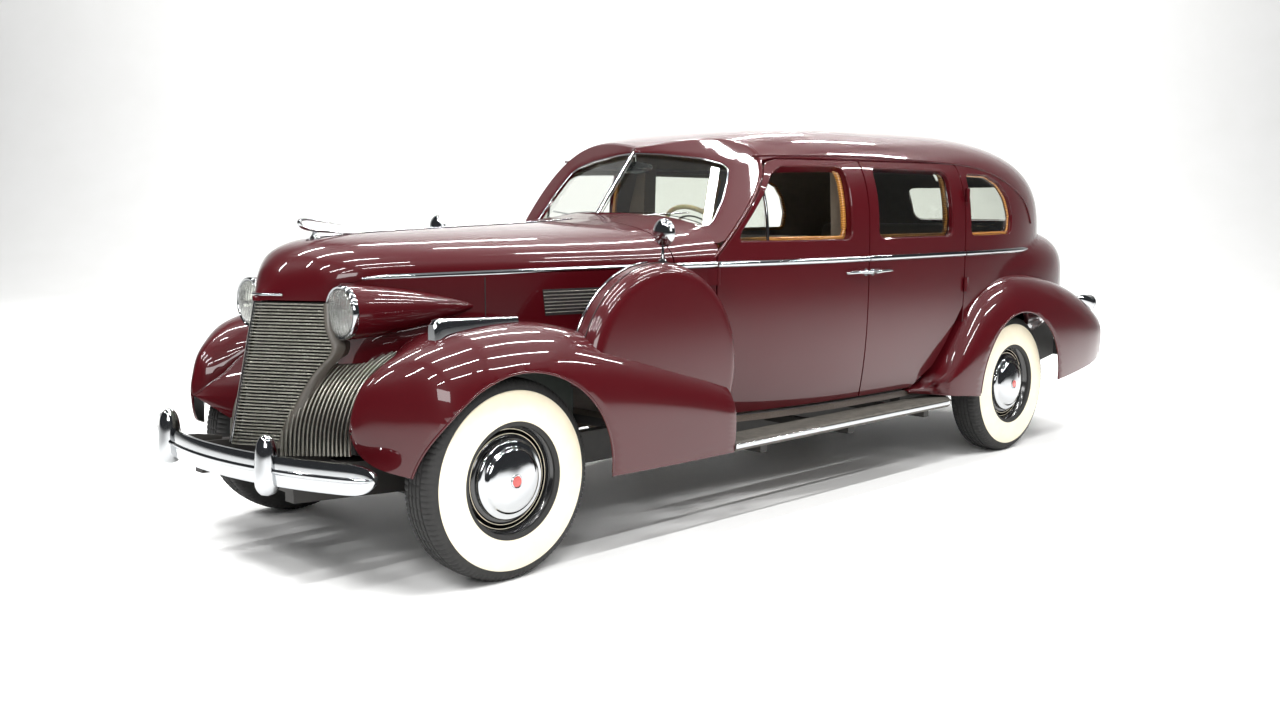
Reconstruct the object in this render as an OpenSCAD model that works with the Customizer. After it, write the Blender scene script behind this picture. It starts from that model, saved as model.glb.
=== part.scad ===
// Seven-passenger sedan with long hood, fender-mounted spare wheel covers and hinged doors.
// Stations run backwards from the front axle; +X is the car's left side, +Z is up.

/* [Chassis] */
// Distance between the axles
wheelbase = 3581; // [3500:1:3700]
// Distance between the middles of the front tyres
front_track = 1537; // [1480:1:1560]
// Distance between the middles of the rear tyres
rear_track = 1588; // [1520:1:1610]
// Spacing of the frame rails, middle to middle
rail_spacing = 720; // [640:1:760]
// Width of a frame rail
rail_w = 60; // [40:1:80]
// Height of a frame rail
rail_h = 140; // [100:1:160]
// Height of the rail bottoms above the ground
rail_z = 265; // [230:1:290]

/* [Wheels] */
// Outer diameter of the tyres
tyre_d = 766; // [720:1:790]
// Width of the tyres
tyre_w = 196; // [170:1:210]
// Outer diameter of the white sidewall band
whitewall_d = 668; // [600:1:690]
// Diameter of the rim flange
rim_d = 440; // [420:1:460]
// Diameter of the chromed hub cap
hubcap_d = 300; // [240:1:330]
// Diameter of the wheel spindles
spindle_d = 50; // [36:1:70]

/* [Body] */
// Height of the belt line
belt_z = 1128; // [1100:1:1150]
// Height of the roof crown
roof_z = 1782; // [1740:1:1810]
// Height of the body sill
sill_z = 445; // [430:1:460]
// Thickness of doors and walls
wall_t = 60; // [50:1:70]
// Thickness of the roof panel
roof_t = 40; // [30:1:50]
// Station of the rear end of the cabin
cabin_end = 4590; // [4560:1:4620]
// Height of the luggage compartment's top
trunk_z = 1140; // [1120:1:1150]
// Station of the rear end of the luggage compartment
trunk_end = 4838; // [4820:1:4850]
// Gap round the doors and lids
panel_gap = 6; // [5:0.5:8]
// Thickness of the window glass
glass_t = 6; // [5:0.5:8]

/* [Doors] */
// Station of the front edge of the front door
door_front = 1270; // [1260:1:1280]
// Station of the joint between the doors
door_split = 2220; // [2200:1:2240]
// Station of the rear edge of the rear door
door_rear = 3072; // [3062:1:3082]
// Height of the door tops
door_top = 1602; // [1590:1:1608]
// Diameter of the hinge barrels
hinge_d = 18; // [14:1:20]
// Length of the hinge barrels
hinge_l = 74; // [60:1:90]

/* [Front end] */
// Station of the seam between hood and cowl
cowl_seam = 1055; // [1045:1:1065]
// Thickness of the hood panels
hood_t = 14; // [10:1:18]
// Number of bars in the radiator grille
grille_bars = 30; // [24:1:34]
// Number of bars in each fender grille
fender_grille_bars = 14; // [10:1:16]
// Diameter of the headlamp lenses
lens_d = 180; // [160:1:190]
// Distance of the headlamps from the middle
lamp_x = 348; // [340:1:356]
// Height of the headlamps
lamp_z = 998; // [990:1:1006]
// Radius of the spare wheel covers
spare_r = 440; // [420:1:450]
// Thickness of the fender panels
fender_t = 16; // [12:1:20]
// Radius of the wheel openings
arch_r = 408; // [400:1:420]

/* [Bumpers] */
// Bend radius of the bumper bars, seen from above
bumper_r = 1800; // [1600:10:2200]
// Height of a bumper bar
bumper_h = 112; // [90:1:130]
// Thickness of a bumper bar
bumper_t = 26; // [20:1:32]
// Height of the bumper middle above the ground
bumper_z = 465; // [440:1:490]
// Distance of the bumper guards from the middle
guard_x = 390; // [350:1:430]

/* [Cabin] */
// Width of the seats
seat_w = 1220; // [1150:1:1260]
// Diameter of the steering wheel
wheel_d = 440; // [400:1:450]
// Distance of the steering wheel from the middle
wheel_x = 360; // [330:1:390]

/* [Hidden] */
$fn = 48;
side_steps = 9;
rail_in = (rail_spacing - rail_w) / 2;
rail_out = (rail_spacing + rail_w) / 2;
rail_top = rail_z + rail_h;
kick_st = wheelbase - 330;
kick_z = 500;
tail_rail_z = 400;
tail_rail_end = 4770;
hanger_z = rail_z + 75;
floor_t = 30;
heel_st = kick_st - 75;
rear_floor_z = 612;
spring_x = 525;
spring_w = 60;
spring_top = 349;
spring_front = wheelbase - 620;
spring_rear = wheelbase + 620;
exhaust_x = -240;
exhaust_z = 300;
pipe_d = 50;
tail_pipe_end = 4780;
tip_d = 58;
tip_l = 90;
spindle_out = 10;
pin_gap = 0.05;
cushion_h = 190;
seat_back_h = 560;
pillar_t = 46;
pillar_w = 90;
spare_st = 700;
spare_z = 720;
rear_st = wheelbase;
axle_z = tyre_d / 2;
front_bumper_st = -790;
rear_bumper_st = 4900;
mid_st = (front_bumper_st + rear_bumper_st) / 2;
seat_gap = 0.5;
well_gap = 2.2;
door_swing = door_rear - door_split - panel_gap / 2;
rear_hinge_in = -0.8;
tail_st = door_rear + 28;
tail_seam = 4300;
trunk_low = 520;
lid_t = 28;
lid_half_w = 600;
lid_front = 4616;
lid_low = 640;
back_window_z = 1400;
wheel_house_r = 470;
hood_z = belt_z - 3;
hood_floor = 800;
firewall_st = cowl_seam + 40;
side_front = -360;
grille_top = 1030;
grille_low = 492;
grille_sweep = 0.57;
grille_lean = 0.224;
grille_st = -552;
header_z = door_top + panel_gap;
rake = 38.1;
pane_sweep = 15.7;
pane_st = 1212;
pane_z = 1347;
kingpin_x = 690;
kingpin_d = 30;
column_tilt = 33;
column_d = 46;
wheel_st = 1550;
wheel_z = 1205;
hub_l = 8;
column_l = (wheel_st - firewall_st - column_d / 2 * sin(column_tilt) - seat_gap) / cos(column_tilt)
  - hub_l - seat_gap;
mirror_x = 790;
mirror_st = 856;
mirror_z = 1280;
mirror_d = 116;
cover_x = 905;
cover_t = 226;
cover_round = 60;
cover_skin = 14;
lamp_st = -388;
lamp_tail = 175;
board_z = 345;
board_t = 40;
board_x = 950;
board_in = 790;

// Half width of the body at the belt line: station, half width
plan = [[-552, 22], [-500, 105], [-450, 185], [-400, 252], [-300, 318], [-150, 364], [0, 404],
  [400, 502], [800, 600], [cowl_seam, 658], [door_front, 714], [1600, 792], [2000, 842],
  [2400, 860], [2900, 866], [tail_st, 866], [3600, 856], [4100, 838], [4600, 815]];
// Height of the roof over the middle line: station, height below the crown
roof_drop = [[1100, 290], [1300, 195], [1450, 126], [1600, 76], [1800, 36], [2050, 12], [2350, 1],
  [2700, 0], [tail_st, 0]];
// Height of the hood over the middle line: station, height
hood_crown = [[-552, 1052], [-526, 1092], [-490, 1163], [-403, 1232], [-271, 1266], [102, 1288],
  [462, 1300], [829, 1313], [cowl_seam, 1327], [pane_st, 1347], [1500, 1380]];
// Height at which the hood sides turn upright: station, height
hood_shoulder = [[-552, 1034], [-500, 1045], [-450, 1062], [-400, 1085], [-300, 1112],
  [-200, 1121], [0, hood_z], [1500, hood_z]];
// Front fender: station, inner x, inner z, ridge x, ridge z, outer x, waist z, bottom z
front_fender_rows = [[-575, 690, 600, 720, 640, 750, 600, 560], [-560, 640, 600, 715, 715, 820, 590, 500],
  [-520, 600, 640, 710, 800, 872, 590, 450], [-440, 575, 690, 705, 868, 915, 590, 415],
  [-345, 555, 770, 703, 908, 938, 595, 400], [-300, 335, 838, 702, 920, 946, 600, 394],
  [-150, 372, 842, 700, 945, 958, 610, 380], [50, 424, 842, 700, 954, 965, 610, 365],
  [250, 472, 836, 705, 944, 967, 605, 355], [450, 522, 810, 715, 895, 966, 590, 350],
  [700, 582, 760, 730, 815, 963, 560, 345], [950, 642, 695, 745, 730, 958, 520, 342],
  [1140, 690, 630, 760, 660, 952, 480, 340]];
// Rear fender: station, inner x, top z, outer x, waist z, bottom z
rear_fender_rows = [[2640, 780, 432, 822, 428, 420], [2840, 780, 520, 900, 470, 400],
  [3020, 780, 705, 945, 520, 380], [3210, 770, 880, 968, 560, 372], [3470, 760, 965, 982, 590, 368],
  [3700, 755, 972, 985, 590, 370], [3990, 740, 938, 980, 580, 385], [4200, 720, 885, 962, 570, 405],
  [4400, 690, 815, 930, 560, 430], [4560, 650, 735, 880, 550, 470], [4640, 640, 660, 815, 560, 505],
  [4665, 660, 620, 760, 570, 530]];
// Radiator grille: height, half width
grille_rows = [[grille_low, 62], [550, 104], [625, 160], [700, 214], [775, 276], [830, 316],
  [868, 312], [900, 266], [940, 248], [grille_top, 232]];

// Part to build, or "all"

// Cubic through the points of a table, read at station s
function segment(t, s, i = 0) = (i >= len(t) - 2 || s < t[i + 1][0]) ? i : segment(t, s, i + 1);
function slope(t, i, c) =
  let (a = max(i - 1, 0), b = min(i + 1, len(t) - 1)) (t[b][c] - t[a][c]) / (t[b][0] - t[a][0]);
function smooth(t, s, c = 1) =
  let (i = segment(t, s), h = t[i + 1][0] - t[i][0], u = max(0, min(1, (s - t[i][0]) / h)))
  t[i][c] * (1 + 2 * u) * pow(1 - u, 2) + slope(t, i, c) * h * u * pow(1 - u, 2)
  + t[i + 1][c] * u * u * (3 - 2 * u) + slope(t, i + 1, c) * h * u * u * (u - 1);

// Superellipse factor: 1 at 0 degrees, 0 at 90 degrees
function bow(a, n) = pow(max(0, cos(a)), 2 / n);
function mirrored(half) = concat(half, [for (p = half) [-p[0], p[1], p[2]]]);

// Cabin section at station s, drawn in by inset at the sides and drop at the top
function tuck(z) = 50 * pow((belt_z - z) / (belt_z - sill_z), 3);
function tail_share(s, inset) =
  1 - pow(max(0, (s - tail_st) / (cabin_end - inset - tail_st)), 2.2);
function cabin_section(s, inset, drop, low) =
  let (c = tail_share(s, inset), w = smooth(plan, s) - inset,
    h = roof_z - smooth(roof_drop, s) - drop - belt_z)
  mirrored(concat([for (z = [sill_z : (belt_z - sill_z) / 4 : belt_z - 1])
      [(w - tuck(z)) * pow(c, 0.25), s, z == sill_z ? low : z]],
    [for (i = [0 : side_steps]) let (a = 90 * i / side_steps)
      [w * bow(a, 4) * pow(c, 0.25), s, belt_z + h * bow(90 - a, 3.4) * pow(c, 1 / 3.4)]]));
function hood_section(s, inset) =
  let (w = smooth(plan, s) - inset, b = smooth(hood_shoulder, s), h = smooth(hood_crown, s) - inset - b)
  mirrored(concat([[w, s, hood_floor - inset * 2]],
    [for (i = [0 : side_steps]) let (a = 90 * i / side_steps)
      [w * bow(a, 2.3), s, b + h * bow(90 - a, 2.3)]]));
// Luggage compartment: a rounded box that grows out of the body below the belt line
function trunk_section(s, inset) =
  let (c = pow(1 - pow((s - tail_st) / (trunk_end - inset - tail_st), 3.2), 0.25),
    w = smooth(plan, s) - 8 - inset, m = (trunk_z + trunk_low) / 2, h = (trunk_z - trunk_low) / 2 - inset)
  mirrored([for (i = [-side_steps : side_steps]) let (a = 90 * i / side_steps)
    [w * pow(abs(cos(a)), 0.5) * c, s, m + sign(a) * h * pow(abs(sin(a)), 0.6) * c]]);
function front_fender_section(r, t) =
  concat([[r[1] - t, r[0], r[2] - 40 - 20 * t], [r[5] - 10 - t, r[0], r[7] - 8 * t]],
    [for (i = [0 : side_steps]) let (a = 90 * i / side_steps)
      [r[3] + (r[5] - t - r[3]) * bow(a, 2.3), r[0], r[6] + (r[4] - t - r[6]) * bow(90 - a, 2.3)]],
    [for (i = [0 : side_steps]) let (a = 90 * i / side_steps)
      [r[3] + (r[1] - t - r[3]) * bow(a, 1.8), r[0], r[2] - t + (r[4] - r[2]) * bow(90 - a, 1.8)]]);
function rear_fender_section(r, t) =
  concat([[r[1] - t, r[0], r[5] - 8 * t], [r[3] - 8 - t, r[0], r[5] - 8 * t], [r[1] - t, r[0], r[2] - t]],
    [for (i = [0 : side_steps]) let (a = 90 * i / side_steps)
      [r[1] + (r[3] - t - r[1]) * bow(a, 2.4), r[0], r[4] + (r[2] - t - r[4]) * bow(90 - a, 2.4)]]);

// Solid through a row of convex sections
module loft(sections) {
  n = len(sections[0]);
  for (i = [0 : len(sections) - 2])
    hull() polyhedron(concat(sections[i], sections[i + 1]),
      [[for (k = [0 : n - 1]) k], [for (k = [0 : n - 1]) n + k]]);
}
module both_sides() {
  children();
  mirror([1, 0, 0]) children();
}
// Plate drawn in side view and pushed out along +X
module side_prism(x0, x1) {
  translate([x0, 0, 0]) rotate([90, 0, 90]) linear_extrude(x1 - x0) children();
}
module block(x0, x1, s0, s1, z0, z1) {
  translate([x0, s0, z0]) cube([x1 - x0, s1 - s0, z1 - z0]);
}
module slab(s0, s1, z0, z1) {
  block(-1100, 1100, s0, s1, z0, z1);
}
// Upright plane of one windshield pane: everything in front of it, less depth behind it
module before_pane(depth) {
  translate([0, pane_st, pane_z]) rotate([0, 0, pane_sweep]) rotate([-rake, 0, 0])
    translate([-1500, -2000 - depth, -1200]) cube([3000, 2000, 3000]);
}
module before_windshield(depth) {
  both_sides() before_pane(depth);
}

cabin_stations = concat([1100, 1200, 1300, 1400, 1500, 1600, 1750, 1900, 2100, 2350, 2600, 2850, tail_st],
  [for (a = [14 : 12 : 74]) tail_st + (cabin_end - tail_st) * sin(a)],
  [tail_st + (cabin_end - tail_st) * 0.988, tail_st + (cabin_end - tail_st) * 0.9985]);
inner_stations = [for (s = cabin_stations)
  s < tail_st ? s : tail_st + (s - tail_st) * (cabin_end - wall_t - tail_st) / (cabin_end - tail_st)];
hood_stations = [-552, -535, -515, -490, -455, -403, -350, -271, -150, 0, 250, 500, 780, 1055, 1270, 1500];
trunk_stations = [for (u = [0.12, 0.35, 0.55, 0.7, 0.8, 0.87, 0.925, 0.965, 0.988, 0.998])
  tail_st + u * (trunk_end - tail_st)];

module cabin_solid(inset = 0, drop = 0, low = sill_z) {
  loft([for (s = inset > 0 ? inner_stations : cabin_stations) cabin_section(s, inset, drop, low)]);
}
module cabin_room(extra = 0) {
  cabin_solid(wall_t + extra, roof_t + extra, 300);
}
module hood_solid(inset = 0) {
  loft([for (s = hood_stations) hood_section(s, inset)]);
}
module trunk_solid(inset = 0) {
  loft([for (s = trunk_stations)
    trunk_section(tail_st + (s - tail_st) * (trunk_end - inset - tail_st) / (trunk_end - tail_st), inset)]);
}
// Cabin and luggage compartment behind the rear doors
module rear_shell() {
  difference() {
    union() {
      cabin_solid();
      trunk_solid();
    }
    cabin_room();
    trunk_solid(lid_t);
  }
}
// Whole cabin wall with the windshield cut away
module cabin_shell() {
  difference() {
    cabin_solid();
    cabin_room();
    before_windshield(0);
  }
}
module wheel_room(st, r, x0) {
  translate([x0, st, axle_z]) rotate([0, 90, 0]) cylinder(r = r, h = 500);
}

// Side view outlines
module front_door_outline() {
  polygon([[door_front, sill_z], [door_split, sill_z], [door_split, door_top], [1640, door_top],
    [1560, 1575], [1500, 1525], [door_front, 1185]]);
}
module front_window_outline() {
  offset(24) offset(-24)
    polygon([[1372, 1228], [2092, 1224], [2092, 1574], [1668, 1566], [1600, 1530], [1372, 1270]]);
}
module rear_door_outline() {
  polygon([[door_split, sill_z], [2660, sill_z], [2840, 545], [2940, 665], [3000, 755],
    [door_rear, 850], [door_rear, door_top], [door_split, door_top]]);
}
module rear_window_outline() {
  offset(26) offset(-26)
    polygon([[2292, 1226], [2950, 1224], [2958, 1566], [2292, 1572]]);
}
module quarter_window_outline() {
  offset(30) offset(-30)
    polygon([[3128, 1224], [3612, 1224], [3622, 1330], [3580, 1430], [3500, 1505], [3380, 1548],
      [3128, 1550]]);
}
module back_window_outline() {
  offset(60) offset(-60) square([760, 230], center = true);
}

// Frame and underside
module frame_rail() {
  side_prism(rail_in, rail_out)
    polygon([[-640, rail_z + 60], [300, rail_z], [kick_st, rail_z], [kick_st + 210, kick_z],
      [rear_st + 240, kick_z], [rear_st + 600, tail_rail_z], [tail_rail_end, tail_rail_z],
      [tail_rail_end, tail_rail_z + rail_h - 50], [rear_st + 620, tail_rail_z + rail_h],
      [rear_st + 300, kick_z + rail_h - 30], [kick_st + 140, kick_z + rail_h - 30],
      [kick_st - 60, rail_top], [300, rail_top], [-640, rail_top + 50]]);
}
module cross_member(s, z) {
  block(-rail_in, rail_in, s, s + 90, z, z + 55);
}
module frame() {
  color("#2a2a2c") {
    both_sides() {
      frame_rail();
      block(rail_out, spring_x + spring_w / 2, spring_front, spring_front + 45, spring_top, rail_top - 20);
      block(rail_out, spring_x + spring_w / 2, spring_rear - 45, spring_rear, spring_top, tail_rail_z + 60);
    }
    for (s = [-600, 1150, 2300]) cross_member(s, hanger_z);
    both_sides() for (s = [1350, 2000, 2650])
      block(rail_out, board_x - 40, s, s + 45, board_z - 40, board_z);
    cross_member(4630, tail_rail_z + 10);
  }
}
// Front floor, heel board under the rear seat and raised rear floor
module floor() {
  color("#3a3533") difference() {
    union() {
      floor_plate(cowl_seam + panel_gap, heel_st, rail_top);
      floor_plate(heel_st - floor_t, 4440, rear_floor_z);
      floor_plate(heel_st - floor_t, heel_st, rail_top, rear_floor_z - rail_top + floor_t);
    }
    both_sides() {
      wheel_room(rear_st, wheel_house_r, 600);
      block(rail_in - 5, rail_out + 5, heel_st - floor_t - 1, heel_st + 1, rail_top + floor_t, rear_floor_z);
    }
  }
}
module floor_plate(s0, s1, z, h = floor_t) {
  half = [[cowl_seam, 600], [door_front, 655], [1620, 738], [2050, 788], [2500, 800], [3000, 790],
    [3150, 770], [3700, 750], [4250, 590], [4440, 470]];
  intersection() {
    translate([0, 0, z]) linear_extrude(h) polygon(concat([for (r = half) [r[1], r[0]]],
      [for (i = [len(half) - 1 : -1 : 0]) [-half[i][1], half[i][0]]]));
    slab(s0, s1, 0, 2000);
  }
}

// Cabin panels
module cowl() {
  color("#4a0f16") {
    intersection() {
      difference() {
        cabin_shell();
        both_sides() side_prism(300, 1100) offset(panel_gap / 2) front_door_outline();
      }
      difference() {
        slab(1100, 1700, sill_z, header_z - panel_gap);
        slab(1500, 1800, 0, 1500);
      }
    }
    difference() {
      intersection() {
        hood_solid();
        slab(cowl_seam + panel_gap, 1500, sill_z, 1500);
        union() {
          before_windshield(-25);
          slab(cowl_seam, firewall_st, sill_z, hood_z);
        }
      }
      difference() {
        hood_solid(wall_t / 2);
        slab(cowl_seam, firewall_st, 0, 1500);
      }
      both_sides() side_prism(300, 1100) offset(panel_gap / 2) front_door_outline();
    }
    block(-590, 590, cowl_seam + panel_gap, firewall_st, rail_top + floor_t, hood_floor + 10);
  }
}
module windshield() {
  color("#9fb4b8", 0.4) intersection() {
    difference() {
      before_windshield(-28);
      before_windshield(-28 + glass_t);
    }
    difference() {
      cabin_room(seat_gap);
      hood_solid(-seat_gap);
    }
    slab(1100, 1700, 1200, 1700);
  }
}
module roof() {
  color("#4a0f16") intersection() {
    cabin_shell();
    slab(1100, 4700, header_z, 1900);
  }
}
module trunk_opening(gap) {
  block(-lid_half_w + gap, lid_half_w - gap, lid_front + gap, trunk_end + 100, lid_low + gap, trunk_z + 100);
}
module back_window_prism(grow) {
  translate([0, cabin_end + 100, back_window_z]) rotate([90, 0, 0]) linear_extrude(400)
    offset(grow) back_window_outline();
}
module quarter_panels() {
  color("#4a0f16") difference() {
    intersection() {
      rear_shell();
      slab(door_rear + panel_gap / 2, tail_seam, sill_z, header_z - seat_gap);
    }
    both_sides() {
      wheel_room(rear_st, wheel_house_r, 500);
      side_prism(300, 1100) offset(panel_gap / 2) rear_door_outline();
      side_prism(300, 1100) quarter_window_outline();
    }
  }
}
module tail_panel() {
  color("#4a0f16") difference() {
    intersection() {
      rear_shell();
      slab(tail_seam + seat_gap, trunk_end + 50, trunk_low, header_z - seat_gap);
    }
    back_window_prism(0);
    trunk_opening(0);
  }
}
module trunk_lid() {
  color("#4a0f16") intersection() {
    difference() {
      trunk_solid();
      trunk_solid(lid_t);
    }
    trunk_opening(panel_gap);
  }
}
module fixed_glass() {
  color("#9fb4b8", 0.4) {
    both_sides() intersection() {
      difference() {
        cabin_solid(24, 24);
        cabin_solid(24 + glass_t, 24 + glass_t);
      }
      side_prism(300, 1100) offset(-seat_gap) quarter_window_outline();
    }
    intersection() {
      difference() {
        cabin_solid(24, 24);
        cabin_solid(24 + glass_t, 24 + glass_t);
      }
      back_window_prism(-seat_gap);
    }
  }
}
// Posts behind the joint of the doors: height, outer x
module pillars() {
  color("#6b5a4a") both_sides() hull()
    for (r = [[rail_top + floor_t, 736], [1300, 783], [header_z - 10, 686]])
      translate([r[1] - pillar_t, door_split - pillar_w / 2, r[0]]) cube([pillar_t, pillar_w, 8]);
}

// Front end
module hood_shell() {
  difference() {
    hood_solid();
    hood_solid(hood_t);
  }
}
module hood() {
  color("#4a0f16") {
    intersection() {
      hood_shell();
      union() {
        slab(-700, cowl_seam, hood_z + panel_gap / 2, 1400);
        slab(-700, lamp_st - panel_gap, grille_top + panel_gap, 1400);
      }
    }
    ornament();
  }
}
module ornament() {
  hull() {
    translate([-9, -350, 1240]) cube([18, 270, 20]);
    translate([0, -350, 1302]) sphere(16, $fn = 16);
    translate([0, -90, 1276]) sphere(8, $fn = 16);
  }
}
module hood_sides() {
  color("#4a0f16") difference() {
    intersection() {
      hood_shell();
      slab(side_front, cowl_seam + panel_gap, hood_floor, hood_z - panel_gap / 2);
    }
    for (z = [962 : 16 : 1042]) slab(400, 700, z, z + 7);
  }
}
module grille_bar(z, h, grow) {
  w = smooth(grille_rows, z) + grow;
  p = grille_st - grille_lean * (grille_top - z);
  translate([0, 0, z]) linear_extrude(h)
    polygon([[0, p], [w, p + grille_sweep * w], [w, p + grille_sweep * w + 16], [0, p + 18],
      [-w, p + grille_sweep * w + 16], [-w, p + grille_sweep * w]]);
}
module radiator_grille() {
  pitch = (grille_top - grille_low) / grille_bars;
  color("#c9ccd0") {
    for (i = [0 : grille_bars - 1]) grille_bar(grille_low + i * pitch, pitch * 0.5, 0);
    both_sides() for (i = [0 : len(grille_rows) - 2]) hull() {
      grille_rail(grille_rows[i]);
      grille_rail(grille_rows[i + 1]);
    }
    hull() {
      translate([-8, grille_st + 4, grille_top - 10]) cube([16, 30, 8]);
      translate([-8, grille_st + 4 - grille_lean * (grille_top - grille_low), grille_low]) cube([16, 30, 8]);
    }
    block(-40, 40, -640, -570, hanger_z + 55, grille_low + 8);
  }
}
module grille_rail(r) {
  s = grille_st - grille_lean * (grille_top - r[0]) + grille_sweep * r[1];
  translate([r[1] - 6, s - 6, r[0] - 3]) cube([14, 34, 6]);
}
module fender_grilles() {
  color("#c9ccd0") both_sides() translate([326, -650, 0]) rotate([0, 0, 17]) {
    for (i = [0 : fender_grille_bars - 1]) translate([22 * i, 360, 520]) rotate([90, 0, -90]) {
      rotate_extrude(angle = fender_grille_angle(i)) translate([352, -4.5]) square([18, 9]);
      translate([352, -60, -4.5]) cube([18, 61, 9]);
    }
    for (z = [475, 520]) translate([-4, 0, z]) rotate([0, 90, 0])
      cylinder(d = 10, h = 22 * fender_grille_bars - 6);
  }
}
function fender_grille_angle(i) = 10 + 60.1 * sin(min(90, 13 * i));

// Fenders
module front_fender() {
  difference() {
    loft([for (r = front_fender_rows) front_fender_section(r, 0)]);
    loft([for (r = front_fender_rows) front_fender_section([
      r[0] < 0 ? r[0] + (r[0] < -560 ? fender_t : 2) : r[0],
      r[1], r[2], r[3], r[4], r[5], r[6], r[7]], fender_t)]);
    wheel_room(0, arch_r, 760);
    spare_disc(well_gap);
    hood_solid(-3);
  }
}
module front_fenders() {
  color("#4a0f16") both_sides() front_fender();
}
module spare_disc(grow) {
  translate([cover_x + grow, spare_st, spare_z]) rotate([0, -90, 0]) rotate_extrude($fn = 64) {
    square([spare_r - cover_round + grow, cover_t + 2 * grow]);
    translate([0, cover_round]) square([spare_r + grow, cover_t - 2 * cover_round + 2 * grow]);
    for (y = [cover_round, cover_t + 2 * grow - cover_round])
      translate([spare_r + grow - cover_round, y]) circle(cover_round, $fn = 16);
  }
}
// Covers of the spare wheels, open below, where they sit in the fender wells
module spare_covers() {
  color("#4a0f16") both_sides() difference() {
    spare_disc(0);
    translate([cover_x - cover_t + cover_skin, spare_st, spare_z]) rotate([0, 90, 0])
      cylinder(r = spare_r - cover_skin - 20, h = cover_t - 2 * cover_skin);
    translate([0, spare_st - 440, 780]) rotate([-17, 0, 0]) translate([500, -300, -1000])
      cube([600, 1700, 1000]);
  }
}
module rear_fender() {
  difference() {
    loft([for (r = rear_fender_rows) rear_fender_section(r, 0)]);
    loft([for (r = rear_fender_rows) rear_fender_section([r[0] > 4600 ? r[0] - fender_t : r[0],
      r[1], r[2], r[3], r[4], r[5]], fender_t)]);
    wheel_room(rear_st - 45, arch_r + 4, 760);
    cabin_solid(-seat_gap, 0, 300);
    trunk_solid(-seat_gap);
  }
}
module rear_fenders() {
  color("#4a0f16") both_sides() rear_fender();
}
module running_boards() {
  color("#1d1d1f") both_sides() {
    block(board_in, board_x, 1140, 2900, board_z, board_z + board_t - 8);
    for (x = [board_in + 12 : 16 : board_x - 30])
      block(x, x + 9, 1160, 2880, board_z + 20, board_z + board_t);
  }
}

// Bumpers
module bumper_bar(half) {
  rotate([0, 0, -90 - half]) rotate_extrude(angle = 2 * half, $fn = 180)
    translate([bumper_r, 0]) {
      square([bumper_t, bumper_h - bumper_t], center = true);
      for (y = [-1, 1]) translate([0, y * (bumper_h - bumper_t) / 2]) circle(d = bumper_t, $fn = 24);
    }
}
module bumper_guard() {
  rotate([0, 0, -90 + asin(guard_x / bumper_r)]) translate([bumper_r + bumper_t / 2 - 6, 0, 18])
    intersection() {
      translate([0, 0, -112]) cylinder(d = 84, h = 224);
      translate([0, -50, -150]) cube([60, 100, 300]);
    }
}
module front_bumper() {
  color("#c9ccd0") translate([0, front_bumper_st + bumper_r, bumper_z]) {
    bumper_bar(29);
    both_sides() bumper_guard();
  }
  color("#2a2a2c") both_sides() block(rail_in, rail_out, front_bumper_st + 46, -640, 335, bumper_z - 20);
}
module rear_bumper() {
  color("#c9ccd0") translate([0, rear_bumper_st - bumper_r, bumper_z]) mirror([0, 1, 0]) {
    bumper_bar(29);
    both_sides() bumper_guard();
  }
  color("#2a2a2c") both_sides()
    block(rail_in, rail_out, tail_rail_end, rear_bumper_st - 46, bumper_z - 50, bumper_z + 30);
}

// Lamps and mirrors
module lamp_pod(grow) {
  translate([lamp_x, lamp_st, lamp_z]) rotate([-90, 0, 0]) rotate_extrude($fn = 36)
    polygon(concat([[0, -grow]], [for (i = [0 : 10]) let (u = i / 10)
      [(lens_d / 2 + 12) * sqrt(max(0, 1 - pow(u, 2.2))) + grow, u * (lamp_tail - lamp_st)]]));
}
module headlamps() {
  color("#c9ccd0") both_sides() difference() {
    lamp_pod(0);
    translate([lamp_x, lamp_st - 1, lamp_z]) rotate([-90, 0, 0]) cylinder(d = lens_d, h = 21);
    hood_solid(-1);
    loft([for (r = front_fender_rows) front_fender_section(r, -1)]);
  }
}
module headlamp_lenses() {
  color("#e8eef0") both_sides() translate([lamp_x, lamp_st + 19, lamp_z]) rotate([90, 0, 0])
    rotate_extrude() intersection() {
      translate([0, -180]) circle(208);
      square([lens_d / 2 - seat_gap, 60]);
    }
}
module parking_lamps() {
  color("#c9ccd0") both_sides() difference() {
    hull() {
      translate([705, -215, 955]) scale([1, 1.2, 1]) sphere(34, $fn = 24);
      translate([715, 130, 950]) sphere(8, $fn = 12);
    }
    loft([for (r = front_fender_rows) front_fender_section(r, -0.5)]);
  }
}
module tail_lamps() {
  color("#c9ccd0") both_sides() difference() {
    hull() {
      translate([800, 4590, 790]) rotate([-90, 0, 0]) cylinder(d = 92, h = 40, $fn = 32);
      translate([800, 4400, 800]) sphere(12, $fn = 12);
    }
    loft([for (r = rear_fender_rows) rear_fender_section(r, -0.5)]);
  }
}
module mirrors() {
  color("#c9ccd0") both_sides() translate([mirror_x, mirror_st, 0]) {
    translate([0, 0, mirror_z]) rotate([-90, 0, 0]) cylinder(d = mirror_d, h = 22);
    difference() {
      translate([0, 8, 1105]) {
        cylinder(d = 12, h = mirror_z - 1105);
        cylinder(d = 38, h = 36);
      }
      translate([-mirror_x, -mirror_st, 0]) spare_disc(seat_gap);
    }
  }
}

// Doors
module front_door() {
  color("#4a0f16") difference() {
    intersection() {
      cabin_shell();
      side_prism(300, 1100) offset(-panel_gap / 2) front_door_outline();
    }
    side_prism(300, 1100) front_window_outline();
  }
}
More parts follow.
